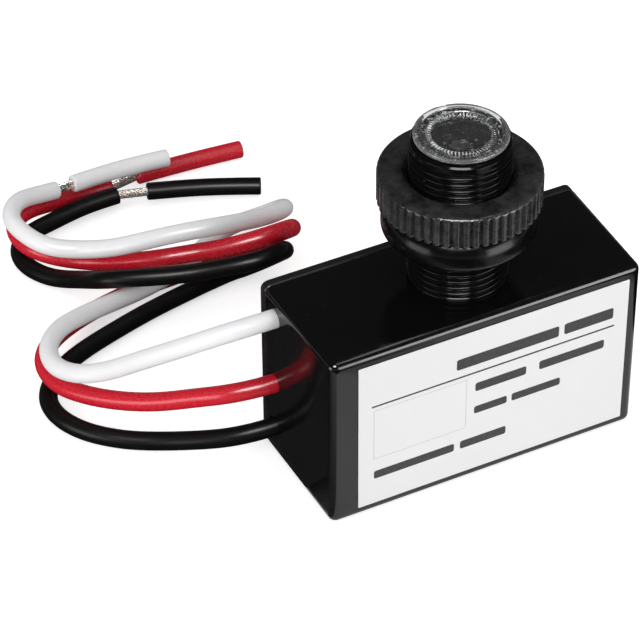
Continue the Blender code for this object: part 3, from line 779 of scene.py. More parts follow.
@dataclass(frozen=True)
class Box:
    """The moulded tray, its end draft, its holes, the plate that closes it and the board's guides."""

    front_length: float = 51.0 * MM
    depth: float = 21.9 * MM
    height: float = 30.5 * MM
    draft: float = 0.022
    wall: float = 1.8 * MM
    cover: float = 1.5 * MM
    seam: float = 0.1 * MM
    lip: float = 0.4 * MM
    gap: float = 0.3 * MM
    edge: float = 1.2 * MM
    rim_edge: float = 0.26 * MM
    inner_edge: float = 0.6 * MM
    board_front: float = 3.0 * MM
    board_thickness: float = 1.6 * MM
    guide_reach: float = 1.2 * MM
    guide_width: float = 1.0 * MM

    @property
    def front(self) -> float:
        """Y of the front face."""
        return -self.depth / 2

    @property
    def back(self) -> float:
        """Y of the back face."""
        return self.depth / 2

    @property
    def seat(self) -> float:
        """Y of the cover's inner face."""
        return self.back - self.cover

    def half_length(self, y: Array | float) -> Array | float:
        """Half the box's length at Y: half the front's, and the draft times the way back from it."""
        return self.front_length / 2 + self.draft * (y - self.front)

    def rings(self, inset: Array, y: Array, radius: Array) -> Array:
        """Points of a closed form: rounded rectangles at depths, with a point in the middle of each end.

        Args:
            inset: How far each rectangle lies inside the box's sides.
            y: Its depth.
            radius: Its corner radius.

        Returns:
            The points, by row and point round.
        """
        loops = rounded_loop(self.half_length(y) - inset, self.height / 2 - inset, radius, 9)
        points = np.concatenate([loops, np.broadcast_to(y[:, None, None], (*loops.shape[:2], 1))], axis=-1)
        centre = points.mean(axis=1, keepdims=True)[[0, -1]] * np.ones((2, points.shape[1], 1))
        points = np.concatenate([centre[:1], points, centre[1:]])
        return np.stack([points[..., 0], points[..., 2], points[..., 1] + self.height / 2], axis=-1)

    def shell(self) -> Array:
        """Points of the tray: its rows step from the front over the rim and down inside.

        Over the front edge, the inset is e (1 - sin a) and y is front + e (1 - cos a), with a from 0 to
        90 degrees. Over the rim's small edge r, they are r (1 - cos a) and rim - r (1 - sin a).

        Returns:
            The points, by row and point round.
        """
        a = np.radians(np.linspace(0, 90, 9))
        c = np.radians(np.linspace(0, 90, 4))
        e, r, tiny = self.edge, self.rim_edge, 0.02 * MM
        rim, inner_front = self.seat - self.seam, self.front + self.wall
        inset = np.concatenate([e * (1 - np.sin(a)), r * (1 - np.cos(c)), [self.wall - tiny] + [self.wall] * 4])
        y = np.concatenate([self.front + e * (1 - np.cos(a)), rim - r * (1 - np.sin(c)),
                            [rim, rim, rim - tiny, inner_front + tiny, inner_front]])
        return self.rings(inset, y, np.maximum(e - inset, self.inner_edge))

    def build_cover(self) -> bpy.types.Object:
        """Makes the plate that closes the back, with small edges and the lip inside the walls.

        Returns:
            The plate.
        """
        c = np.radians(np.linspace(0, 90, 4))
        r, back_r, inside = self.rim_edge, 0.25 * MM, self.wall + self.gap
        inset = np.concatenate([back_r * (1 - np.sin(c)), r * (1 - np.cos(c)), [inside] * 2, [inside + 0.2 * MM]])
        y = np.concatenate([self.back - back_r * (1 - np.cos(c)), self.seat + r * (1 - np.sin(c)),
                            [self.seat, self.seat - self.lip / 2, self.seat - self.lip]])
        points = self.rings(inset, y, np.maximum(self.edge - inset, self.gap))
        made = closed_piece("cover_plate", points, grid_faces(*points.shape[:2], rows_close=False))
        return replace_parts(dress(made, COVER_BLACK, "cover_black"), "back_cover")

    def holes(self, exits: Sequence[tuple[float, float]], throat: float,
              axis: tuple[float, float], lead: float) -> list[bpy.types.Object]:
        """Rods that cut the leads' holes and the neck's throat.

        Args:
            exits: Y and Z of each lead's hole.
            throat: The radius of the throat.
            axis: X and Y of the neck's axis.
            lead: The diameter of a lead.

        Returns:
            The rods.
        """
        rim = lead / 2 + 0.04 * MM
        rods = []
        for number, (y, z) in enumerate(exits):
            outer = -float(self.half_length(y))
            x = outer + np.array([-1.0, -1.0, 0.0, 0.15, 3.0, 3.0]) * MM
            radius = np.array([0.0, rim + 0.15 * MM, rim + 0.15 * MM, rim, rim, 0.0])
            ring = about_axis(radius, x, 48, (0.0, 0.0))
            points = np.stack([ring[..., 2], y + ring[..., 0], z + ring[..., 1]], axis=-1)
            rods.append(closed_piece(f"hole_{number}", points, grid_faces(6, 48)))
        high, low = self.height - 0.3 * MM, self.height - 2 * self.wall
        rods.append(closed_piece("throat", about_axis(np.array([0, throat, throat, 0]),
                                                      np.array([low, low, high + MM, high + MM]), 48, axis),
                                 grid_faces(4, 48)))
        return rods

    def build(self, exits: Sequence[tuple[float, float]], throat: float, axis: tuple[float, float],
              lead: float) -> bpy.types.Object:
        """Makes the tray with its holes.

        Args:
            exits: Y and Z of each lead's hole.
            throat: The radius of the neck's throat.
            axis: X and Y of the neck's axis.
            lead: The diameter of a lead.

        Returns:
            The tray.
        """
        points = self.shell()
        tray = closed_piece("box_shell", points, grid_faces(*points.shape[:2], rows_close=False))
        rods = self.holes(exits, throat, axis, lead)
        for rod in rods:
            cut = tray.modifiers.new(rod.name, "BOOLEAN")
            cut.object, cut.operation, cut.solver = rod, "DIFFERENCE", "EXACT"
        view = bpy.context.evaluated_depsgraph_get()
        mesh = bpy.data.meshes.new_from_object(tray.evaluated_get(view))
        tray.modifiers.clear()
        tray.data = mesh
        mesh.shade_smooth()
        mesh.set_sharp_from_angle(angle=math.radians(32))
        for rod in rods:
            bpy.data.objects.remove(rod, do_unlink=True)
        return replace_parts(dress(tray, BOX_BLACK, "case_black"), "case")

    def guides(self) -> bpy.types.Object:
        """Makes the four upright guides on the end walls.

        Each is a box of eight corners: the signs of a corner pick one end of its span on each axis.

        Returns:
            The guides, as one piece.
        """
        wall = float(self.half_length(self.board_front)) - self.wall
        back = self.board_front + self.board_thickness + self.gap
        front = self.board_front - self.gap
        low = np.array([[wall - self.guide_reach, y, self.wall] for y in (front - self.guide_width, back)])
        high = np.array([[wall + 0.2 * MM, y, self.height - self.wall] for y in (front, back + self.guide_width)])
        low, high = np.repeat(low, 2, axis=0), np.repeat(high, 2, axis=0)
        pick = np.array([[i, j, k] for k in (0, 1) for i, j in ((0, 0), (1, 0), (1, 1), (0, 1))])
        points = low[:, None] + pick * (high - low)[:, None]
        points[::2, :, 0] *= -1
        sides = np.array([[0, 3, 2, 1], [4, 5, 6, 7], [0, 1, 5, 4], [1, 2, 6, 5], [2, 3, 7, 6], [3, 0, 4, 7]])
        faces = (sides[None] + 8 * np.arange(4)[:, None, None]).reshape(-1, 4)
        made = closed_piece("board_guides", points, faces)
        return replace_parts(dress(made, COVER_BLACK, "case_black"), "case")


# ---------------------------------------------------------------- the neck and what is on it


@dataclass(frozen=True)
class Thread:
    """A right-hand thread: its crest climbs by one pitch for each turn against the clock, seen from above."""

    pitch: float = TURN / 5764.35
    depth: float = 0.56 * MM

    def ridge(self, height: Array, angle: Array) -> Array:
        """How much of a tooth stands at a place: 1 on its crest and 0 in the groove.

        With u the fraction part of height over pitch minus angle over a turn, and t = |2u - 1|, the
        tooth is the ramp (0.93 - t) / 0.74 held between 0 and 1.

        Args:
            height: Heights.
            angle: Angles about the axis.

        Returns:
            The tooth's share, from 0 to 1.
        """
        u = np.mod(height / self.pitch - angle / TURN, 1.0)
        return np.clip((0.93 - np.abs(2 * u - 1)) / 0.74, 0, 1)


@dataclass(frozen=True)
class Neck:
    """The threaded tube that stands on the box, with a stepped bore."""

    x: float = 0.9 * MM
    y: float = 0.3 * MM
    foot: float = 30.5 * MM
    top: float = 54.6 * MM
    radius: float = 7.5 * MM
    chamfer: float = 0.5 * MM
    bore: float = 5.6 * MM
    throat: float = 4.4 * MM
    step: float = 44.0 * MM
    root: float = 1.0 * MM
    collar: float = 1.2 * MM
    columns: int = 120
    rows_each_turn: int = 15

    @property
    def axis(self) -> tuple[float, float]:
        """X and Y of the axis."""
        return (self.x, self.y)

    def build(self, thread: Thread) -> bpy.types.Object:
        """Makes the neck: a threaded outside, a rim and the bore, as one closed grid of rows.

        Outside, the radius is the full one less the thread's depth where there is no tooth. It is held
        under the cone of the top chamfer, and runs out to plain collars at the foot and under the rim.

        Args:
            thread: The thread.

        Returns:
            The neck.
        """
        angle = np.arange(self.columns) * TURN / self.columns
        rows = round((self.top - self.foot) / thread.pitch * self.rows_each_turn)
        z = np.linspace(self.foot, self.top - 0.08 * MM, rows)[:, None]
        cut = self.radius - thread.depth * (1 - thread.ridge(z, angle))
        run = np.clip((z - self.foot) / (0.7 * MM), 0, 1) * np.clip((self.top - self.collar - z) / (0.4 * MM), 0, 1)
        cut = run * cut + (1 - run) * (self.radius - 0.11 * MM)
        cut = np.minimum(cut, self.radius - self.chamfer + (self.top - z))
        inner = np.array([
            (self.radius - self.chamfer - 0.08 * MM, self.top), (self.bore + 0.12 * MM, self.top),
            (self.bore, self.top - 0.12 * MM), (self.bore, self.step), (self.throat, self.step),
            (self.throat, self.foot - self.root), (self.radius - 0.11 * MM, self.foot - self.root),
        ])
        radius, height = stacked([cut, inner[:, :1]], self.columns), np.concatenate([z, inner[:, 1:]])
        points = about_axis(radius, height, self.columns, self.axis)
        made = closed_piece("threaded_neck", points, grid_faces(len(points), self.columns), 55)
        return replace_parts(dress(made, NECK_BLACK, "case_black"), "case")


@dataclass(frozen=True)
class RingNut:
    """The ribbed nut, with a countersunk bore whose thread runs in the neck's."""

    bottom: float = 43.9 * MM
    height: float = 5.1 * MM
    radius: float = 12.0 * MM
    ribs: int = 52
    rib_depth: float = 0.58 * MM
    land: float = 0.30 * MM
    run_out: float = 0.40 * MM
    edge: float = 0.60 * MM
    foot_edge: float = 0.25 * MM
    sink_radius: float = 8.3 * MM
    clearance: float = 0.1 * MM
    columns_each_rib: int = 12

    def rim(self, z: Array, angle: Array) -> Array:
        """Radius of the ribbed outside, whose grooves are open below and run out under the top edge.

        At angle a of n ribs, s = (|sin (n a / 2)| - 0.2) / 0.75, held between 0 and 1, and a rib's share
        is sin (90 s), which rounds its shoulders. A groove's depth is its full one times (t - land) over
        the run-out, held between 0 and 1, with t the distance from the top. A round edge of size e takes
        off e - sqrt (e^2 - (e - t)^2), with t the distance from its own end.

        Args:
            z: Heights.
            angle: Angles about the axis.

        Returns:
            The radii.
        """
        share = np.sin(np.pi / 2 * np.clip((np.abs(np.sin(self.ribs * angle / 2)) - 0.2) / 0.75, 0, 1))
        from_top = self.bottom + self.height - z
        groove = self.rib_depth * np.clip((from_top - self.land) / self.run_out, 0, 1)
        crest = self.radius - groove * (1 - share)
        for edge, from_end in ((self.edge, from_top), (self.foot_edge, z - self.bottom)):
            over = np.clip(edge - from_end, 0, edge)
            crest = crest - edge + np.sqrt(edge**2 - over**2)
        return crest

    def build(self, neck: Neck, thread: Thread) -> bpy.types.Object:
        """Makes the nut: its ribbed side, top, threaded bore and underside, as one closed grid of rows.

        Args:
            neck: The neck that it runs on.
            thread: The neck's thread, whose groove the bore's tooth fills less the clearance.

        Returns:
            The nut.
        """
        columns = self.ribs * self.columns_each_rib
        angle = np.arange(columns) * TURN / columns
        low, high = self.bottom, self.bottom + self.height
        turn = 1 - np.cos(np.radians(np.linspace(0, 90, 7)))
        grooves_end = high - self.run_out - self.land
        side = np.concatenate([low + self.foot_edge * turn[::2], np.linspace(low + 0.6 * MM, high - 0.9 * MM, 5),
                               [grooves_end, grooves_end + 0.05 * MM], high - self.edge * turn[::-1]])[:, None]
        bore = neck.radius + self.clearance
        root = bore - thread.depth
        z = np.linspace(high - 0.45 * MM, low + 0.35 * MM, 62)[:, None]
        inner = root + thread.depth * thread.ridge(z, angle)
        lead_in = np.minimum(high - z, z - low)
        inner = np.maximum(inner, self.sink_radius - 0.9 * lead_in)
        top = np.array([(self.radius - self.edge - 0.5 * MM, high - 0.005 * MM),
                        (self.radius - 1.9 * MM, high - 0.02 * MM), (self.sink_radius + 0.35 * MM, high - 0.01 * MM),
                        (self.sink_radius, high - 0.05 * MM), (self.sink_radius - 0.3 * MM, high - 0.35 * MM)])
        under = np.array([(self.sink_radius - 0.25 * MM, low + 0.05 * MM), (self.sink_radius + 0.2 * MM, low),
                          (self.radius - 1.0 * MM, low)])
        radius = stacked([self.rim(side, angle), top[:, :1], inner, under[:, :1]], columns)
        height = np.concatenate([side, top[:, 1:], z, under[:, 1:]])
        points = about_axis(radius, height, columns, neck.axis)
        made = closed_piece("ribbed_nut", points, grid_faces(len(points), columns), 42)
        dress(made, NUT_BLACK, "nut_black")
        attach(made, "nut")
        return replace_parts(made, "lock_nut")


@dataclass(frozen=True)
class Gasket:
    """The rubber washer under the nut, with a deep round shoulder and a round foot."""

    bottom: float = 38.6 * MM
    thickness: float = 5.0 * MM
    radius: float = 11.35 * MM
    bore: float = 7.8 * MM
    shoulder: tuple[float, float] = (2.5 * MM, 3.3 * MM)
    foot: tuple[float, float] = (1.5 * MM, 1.3 * MM)

    def build(self, neck: Neck) -> bpy.types.Object:
        """Makes the washer by turning its profile about the neck's axis.

        With a from 0 to 90 degrees, the shoulder is the quarter of an ellipse (R - w (1 - cos a),
        top - h (1 - sin a)) of width w and height h, and the foot is the same upside down.

        Args:
            neck: The neck that it sits on.

        Returns:
            The washer.
        """
        low, high = self.bottom, self.bottom + self.thickness
        a = np.radians(np.linspace(0, 90, 16))
        (foot_w, foot_h), (top_w, top_h) = self.foot, self.shoulder
        foot = np.stack([self.radius - foot_w * (1 - np.cos(a)), low + foot_h * (1 - np.sin(a))], axis=1)[::-1]
        shoulder = np.stack([self.radius - top_w * (1 - np.cos(a)), high - top_h * (1 - np.sin(a))], axis=1)
        tiny = 0.2 * MM
        hole = np.array([(self.bore + tiny, high), (self.bore, high - tiny), (self.bore, low + tiny),
                         (self.bore + tiny, low)])
        profile = np.concatenate([foot, shoulder, hole])
        points = about_axis(profile[:, 0], profile[:, 1], 128, neck.axis)
        made = closed_piece("rubber_gasket", points, grid_faces(len(points), 128), 60)
        dress(made, GASKET_BLACK, "gasket_rubber")
        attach(made, "washer")
        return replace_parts(made, "gasket")


@dataclass(frozen=True)
class Lens:
    """The clear window: a flange, a spigot, a low dome and a ring of fine ribs round it."""

    seat: float = 54.9 * MM
    flange: float = 0.6 * MM
    radius: float = 6.9 * MM
    spigot: float = 5.3 * MM
    spigot_wall: float = 0.7 * MM
    spigot_depth: float = 0.8 * MM
    window: float = 4.3 * MM
    window_thickness: float = 0.7 * MM
    ticks: int = 58
    tick_height: float = 0.24 * MM
    ring_rows: int = 7

    def build(self, neck: Neck) -> bpy.types.Object:
        """Makes the lens by turning its profile, with ribs in the ring between window and spigot.

        In the ring, the height gains the rib's height times half of 1 + cos (n a), for n ribs, times
        a hump over the ring's width.

        Args:
            neck: The neck that it sits in.

        Returns:
            The lens.
        """
        top = self.seat + self.flange
        floor = top - 0.2 * MM
        under = floor - self.window_thickness
        a = np.radians(np.linspace(90, 0, 9))
        dome = np.stack([self.window * np.cos(a), floor - 0.2 * MM + 0.4 * MM * np.sin(a)], axis=1)
        ring_r = np.linspace(self.window + 0.03 * MM, self.window + 0.75 * MM, self.ring_rows)
        ring = np.stack([ring_r, np.full(self.ring_rows, floor - 0.12 * MM)], axis=1)
        rim = np.array([
            (self.spigot - 0.12 * MM, floor - 0.12 * MM), (self.spigot, floor), (5.80 * MM, floor),
            (5.90 * MM, floor - 0.14 * MM), (5.98 * MM, floor - 0.14 * MM), (6.05 * MM, floor + 0.08 * MM),
            (6.25 * MM, top - 0.02 * MM), (self.radius - 0.18 * MM, top), (self.radius - 0.05 * MM, top - 0.04 * MM),
            (self.radius, top - 0.14 * MM), (self.radius, self.seat + 0.08 * MM),
            (self.radius - 0.08 * MM, self.seat), (self.spigot + 0.03 * MM, self.seat),
            (self.spigot, self.seat - 0.03 * MM),
            (self.spigot, neck.top - self.spigot_depth + 0.1 * MM),
            (self.spigot - 0.1 * MM, neck.top - self.spigot_depth),
            (self.spigot - self.spigot_wall, neck.top - self.spigot_depth),
            (self.spigot - self.spigot_wall, under), (0.0, under),
        ])
        profile = np.concatenate([dome, ring, rim])
        columns = self.ticks * 4
        angle = np.arange(columns) * TURN / columns
        hump = np.zeros(len(profile))
        hump[len(dome):len(dome) + self.ring_rows] = np.sin(np.linspace(0, math.pi, self.ring_rows))
        lift = self.tick_height * 0.5 * (1 + np.cos(self.ticks * angle))
        points = about_axis(profile[:, 0], profile[:, 1:] + hump[:, None] * lift, columns, neck.axis)
        made = closed_piece("clear_lens", points, grid_faces(len(points), columns), 38)
        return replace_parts(dress(made, LENS_CLEAR, "lens_clear"), "lens")


@dataclass(frozen=True)
class LightCell:
    """The photocell: a ceramic disc with a zigzag track between two metal combs, under a clear coat."""

    top: float = 52.1 * MM
    radius: float = 2.6 * MM
    thickness: float = 2.0 * MM
    passes: int = 7
    track_width: float = 0.20 * MM

    def ribbon(self, name: str, path: Array, width: float, centre: Array) -> bpy.types.Object:
        """A flat ribbon on the disc's face: the path moved by half the width to both sides, and given a height.

        Args:
            name: The piece's name.
            path: X and Y of the path, from the disc's centre.
            width: The ribbon's width.
            centre: X and Y of the disc's centre.

        Returns:
            The ribbon.
        """
        along = np.gradient(path, axis=0)
        across = np.stack([-along[:, 1], along[:, 0]], axis=1) / np.linalg.norm(along, axis=1, keepdims=True)
        left, right = path + across * width / 2 + centre, path - across * width / 2 + centre
        low, high = self.top - 0.02 * MM, self.top + 0.02 * MM
        corners = [np.column_stack([side, np.full(len(path), z)]) for side, z in
                   ((left, low), (right, low), (right, high), (left, high))]
        points = np.stack(corners, axis=1)
        caps = np.array([[0, 1, 2, 3], [4 * len(path) - 4, 4 * len(path) - 1, 4 * len(path) - 2, 4 * len(path) - 3]])
        faces = np.concatenate([grid_faces(len(path), 4, rows_close=False), caps])
        return closed_piece(name, points, faces)

    def build(self, neck: Neck) -> list[bpy.types.Object]:
        """Makes the disc, its track and its two combs.

        The track swings across the face: at pass s it stands at x = w cos (pi s), with w the half
        chord there, squared off, and y = r (2 s / n - 1).

        Args:
            neck: The neck that it looks out of.

        Returns:
            The pieces.
        """
        low, high = self.top - self.thickness, self.top
        profile = eased([(0.0, low), (self.radius, low), (self.radius, high), (0.0, high)],
                        [0.0, 0.2 * MM, 0.3 * MM, 0.0], 7)
        points = about_axis(profile[:, 0], profile[:, 1], 64, neck.axis)
        disc = closed_piece("cell_disc", points, grid_faces(len(points), 64))
        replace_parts(dress(disc, CERAMIC_PAINTED_SHADE, "sensor_face"), "light_sensor")
        s = np.linspace(0, self.passes, 40 * self.passes)
        y = 0.72 * self.radius * (2 * s / self.passes - 1)
        chord = np.sqrt((0.82 * self.radius) ** 2 - y**2)
        x = chord * np.tanh(3.0 * np.cos(math.pi * s)) / math.tanh(3.0)
        centre = np.array(neck.axis)
        track = self.ribbon("cell_track", np.stack([x, y], axis=1), self.track_width, centre)
        dress(track, TRACK_PAINTED_SHADE, "sensor_face")
        arc = np.radians(np.linspace(-62, 62, 40))
        combs = []
        for name, side in (("cell_comb_a", -1), ("cell_comb_b", 1)):
            path = 0.88 * self.radius * np.stack([side * np.cos(arc), np.sin(arc)], axis=1)
            combs.append(dress(self.ribbon(name, path, 0.26 * MM, centre), ELECTRODE, "sensor_wire"))
        return [disc, track, *combs]


# ---------------------------------------------------------------- the label


@dataclass(frozen=True)
class Mark:
    """One plain shape of print: where its middle is, its size, its corner, and its line if it is open."""

    x: float
    z: float
    width: float
    height: float
    corner: float = 0.15 * MM
    line: float = 0.0


@dataclass(frozen=True)
class Label:
    """The pale film on the front, with plain bars and frames where a label has its print."""

    left: float = -21.2 * MM
    right: float = 23.4 * MM
    low: float = 1.85 * MM
    high: float = 28.55 * MM
    back: float = -11.05 * MM
    thickness: float = 0.15 * MM
    corner: float = 0.15 * MM
    ink: float = 0.012 * MM

    def plate(self, name: str, mark: Mark, back: float, thickness: float, ease: float) -> bpy.types.Object:
        """A thin plate of a mark's shape, or a frame if the mark has a line.

        Its rows are rounded rectangles at a depth and an inset: the front edge is eased, and a frame's
        rows go on down its inner edge and close at the back.

        Args:
            name: The piece's name.
            mark: The shape.
            back: Y of the plate's back.
            thickness: How thick it is.
            ease: How far its front edge is rounded.

        Returns:
            The plate.
        """
        front = back - thickness
        inset = [0.0, 0.0, ease * 0.3, ease, ease * 1.5]
        y = [back, front + ease, front + ease * 0.3, front, front]
        if mark.line:
            inset += [mark.line, mark.line]
            y += [front, back]
        inset, y = np.array(inset), np.array(y)
        radius = np.maximum(mark.corner - inset, 0.01 * MM)
        loops = rounded_loop(mark.width / 2 - inset, mark.height / 2 - inset, radius, 6)
        points = np.stack([loops[..., 0] + mark.x, np.broadcast_to(y[:, None], loops.shape[:2]),
                           loops[..., 1] + mark.z], axis=-1)
        if not mark.line:
            centre = np.ones((1, points.shape[1], 1)) * np.array([mark.x, 0.0, mark.z])
            points = np.concatenate([centre + [0, back, 0], points, centre + [0, front, 0]])
        return closed_piece(name, points, grid_faces(*points.shape[:2], rows_close=bool(mark.line)))

    def build(self) -> list[bpy.types.Object]:
        """Makes the film and its print.

        Returns:
            The pieces.
        """
        middle = ((self.left + self.right) / 2, (self.low + self.high) / 2)
        size = (self.right - self.left, self.high - self.low)
        film = self.plate("label_film", Mark(*middle, *size, self.corner), self.back, self.thickness, 0.05 * MM)
        pieces = [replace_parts(dress(film, LABEL_WHITE, "label_white"), "label")]
        face = self.back - self.thickness
        for number, (finish, mark) in enumerate(self.print()):
            shape = self.plate(f"label_mark_{number}", mark, face + 0.004 * MM, self.ink, 0.002 * MM)
            pieces.append(dress(shape, finish, "label_white"))
        return pieces

    def print(self) -> list[tuple[Finish, Mark]]:
        """The plain shapes of the print: a rule, rows of bars where words would be, and a pale frame."""
        rows = (
            (23.2, 2.0, ((-5.3, 11.7), (12.6, 20.9))),
            (17.8, 1.6, ((-2.1, 6.4), (8.6, 19.6))),
            (13.4, 1.4, ((-2.2, 3.3), (4.1, 12.3))),
            (7.4, 1.5, ((-18.7, -5.4), (-4.4, 3.3))),
        )
        marks = [(PRINT_BLACK, Mark(1.05 * MM, 20.7 * MM, 40.3 * MM, 0.30 * MM, 0.08 * MM))]
        for z, height, bars in rows:
            for start, end in bars:
                bar = Mark((start + end) / 2 * MM, z * MM, (end - start) * MM, height * MM, 0.35 * MM)
                marks.append((PRINT_BLACK, bar))
        marks.append((PRINT_GREY, Mark(-11.15 * MM, 15.2 * MM, 15.3 * MM, 9.4 * MM, 0.2 * MM, 0.13 * MM)))
        return marks


# ---------------------------------------------------------------- the leads


@dataclass(frozen=True)
class Lead:
    """One insulated lead: its hole, its route, the bare strands and the slug of insulation at its end."""

    name: str
    finish: Finish
    slot: str
    exit_y: float
    exit_z: float
    route: tuple[Point, ...]
    slug: tuple[Point, ...]
    diameter: float = 2.9 * MM
    core: float = 1.4 * MM
    reach: float = 2.6 * MM
    floor: float = 0.05 * MM
    step: float = 0.9 * MM
    lip: float = 0.22 * MM
    hollow: float = 0.9 * MM
    inner_strands: int = 5
    outer_strands: int = 13
    twist: float = 9 * MM
    strand_rows: int = 12
    strand_sides: int = 6
    columns: int = 28

    def exit(self, box: Box) -> Point:
        """The middle of the lead's hole in the box's left end."""
        return (-float(box.half_length(self.exit_y)), self.exit_y, self.exit_z)

    def centreline(self, box: Box) -> Array:
        """The lead's line, from inside the wall to the end of its insulation.

        Args:
            box: The box that it leaves.

        Returns:
            Points on the line.
        """
        start = np.array(self.exit(box)) + np.array([(box.wall + self.reach, 0, 0), (-self.reach, 0, 0)])
        path = smooth_path(np.concatenate([start, np.array(self.route)]), self.step)
        path[:, 2] = np.maximum(path[:, 2], self.diameter / 2 + self.floor)
        return path

    def sleeve(self, name: str, line: Sweep, hollow_start: bool) -> bpy.types.Object:
        """Insulation along a line, with eased lips and a hollow end where the strands come out.

        Over a lip, the radius drops by e (1 - cos a) while the distance goes on by e sin a. The rows
        then go back inside at the core's radius.

        Args:
            name: The piece's name.
            line: The line.
            hollow_start: Whether its first end is hollow too.

        Returns:
            The sleeve.
        """
        outer, inner, ease = self.diameter / 2, self.core / 2, self.lip
        a = np.radians(np.linspace(0, 90, 5))
        lip_far = line.length - ease + ease * np.sin(a)
        lip_radius = outer - ease * (1 - np.cos(a))
        body = np.arange(ease + 0.3 * MM, line.length - ease - 0.2 * MM, 0.8 * MM)
        far = np.concatenate([lip_far, [line.length, line.length - self.hollow, line.length - self.hollow]])
        far_radius = np.concatenate([lip_radius, [inner, inner, 0.0]])
        near, near_radius = line.length - far[::-1], far_radius[::-1]
        if not hollow_start:
            near, near_radius = np.concatenate([[0.0], near[3:]]), np.concatenate([[0.0], near_radius[3:]])
        distance = np.concatenate([near, body, far])
        radius = np.concatenate([near_radius, np.full(len(body), outer), far_radius])
        points = line.tube(distance, radius, self.columns)
        chart = grid_map(len(points), self.columns, rows_close=False)
        chart[:, 0] = distance[chart[:, 0].astype(int)] * 1000
        made = closed_piece(name, points, grid_faces(*points.shape[:2], rows_close=False), 50, chart)
        return dress(made, self.finish, self.slot)

    def bundle(self, name: str, spans: Sequence[Array]) -> bpy.types.Object:
        """Twisted strands along straight spans, in an inner and an outer ring.

        Strand k of a ring of n stands at angle 2 pi (k / n + distance / twist), and its ends close to a
        point.

        Args:
            name: The piece's name.
            spans: The two ends of each span.

        Returns:
            The strands, as one piece.
        """
        few, many, rows, sides = self.inner_strands, self.outer_strands, self.strand_rows, self.strand_sides
        ring = np.concatenate([np.full(few, 0.36), np.full(many, 0.80)]) * self.core / 2
        phase = np.concatenate([np.arange(few) / few, np.arange(many) / many]) * TURN
        thin = 0.20 * self.core / 2
        size, quads = (rows + 2) * sides, grid_faces(rows + 2, sides, rows_close=False)
        points, faces, count = [], [], 0
        for span in spans:
            line = Sweep(np.linspace(span[0], span[1], rows))
            distance = np.linspace(0, line.length, rows)
            place, level, square = line.frames(distance)
            twist = (phase[:, None] + distance[None] * TURN / self.twist)[..., None]
            bulge = 1 + 0.06 * np.sin(distance / line.length * math.pi)[None, :, None]
            wire = place[None] + ring[:, None, None] * bulge * (np.cos(twist) * level + np.sin(twist) * square)
            round_it = (np.arange(sides) * TURN / sides)[:, None]
            across = np.cos(round_it) * level[:, None] + np.sin(round_it) * square[:, None]
            tube = wire[:, :, None] + thin * across[None]
            ends = np.stack([wire[:, :1], wire[:, -1:]])[:, :, :, None] * np.ones((1, 1, 1, sides, 1))
            tube = np.concatenate([ends[0], tube, ends[1]], axis=1)
            offset = count + size * np.arange(len(ring))
            points.append(tube.reshape(-1, 3))
            faces.append((quads[None] + offset[:, None, None]).reshape(-1, 4))
            count += size * len(ring)
        made = closed_piece(name, np.concatenate(points), np.concatenate(faces), 60)
        return dress(made, TINNED, "tinned_copper")

    def build(self, box: Box) -> list[bpy.types.Object]:
        """Args:
            box: The box that it leaves.

        Returns:
            The pieces.
        """
        line = Sweep(self.centreline(box))
        tail = Sweep(smooth_path(self.slug, self.step))
        lead = self.sleeve(f"{self.name}_insulation", line, hollow_start=False)
        slug = self.sleeve(f"{self.name}_end_sleeve", tail, hollow_start=True)
        towards = tail.path[0] - line.path[-1]
        towards /= np.linalg.norm(towards)
        last = tail.path[-1] - tail.path[-2]
        last /= np.linalg.norm(last)
        spans = [np.stack([line.path[-1] - towards * 0.7 * MM, tail.path[0] + towards * 0.7 * MM]),
                 np.stack([tail.path[-1] - last * 0.85 * MM, tail.path[-1] - last * 0.04 * MM])]
        wires = self.bundle(f"{self.name}_wires", spans)
        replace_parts(lead, f"lead_{self.name}")
        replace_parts(slug, f"{self.name}_slug")
        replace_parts(wires, f"{self.name}_strands")
        return [lead, wires, slug]


WHITE_LEAD = Lead(
    "white", WHITE_PVC, "insulation_white", 0.00650, 0.02680,
    ((-.0345, .0075, .0260), (-.0390, .0110, .0228), (-.0435, .0165, .0178), (-.0470, .0215, .0134),
     (-.0498, .0260, .0107), (-.0512, .0310, .0092), (-.0500, .0360, .0084), (-.0465, .0402, .0074),
     (-.0415, .0433, .0059), (-.0345, .0460, .0043), (-.0260, .0478, .0041), (-.0203, .0493, .0049),
     (-.0139, .0536, .0041), (-.0073, .0575, .0022), (-.0036, .0568, .0030), (-.0019, .0549, .0048),
     (-.0019, .0523, .0069), (-.0037, .0499, .0086), (-.0065, .0484, .0097), (-.0180, .0464, .0127),
     (-.0221, .0474, .0125), (-.0269, .0495, .0113), (-.0316, .0526, .0093), (-.0359, .0567, .0075),
     (-.0402, .0595, .0078), (-.0426, .0638, .0083), (-.0428, .0682, .0083), (-.0402, .0721, .0078),
     (-.0356, .0743, .0063), (-.0322, .0751, .0055)),
    ((-.0292, .0756, .0053), (-.0205, .0762, .0049), (-.0119, .0759, .0046)))
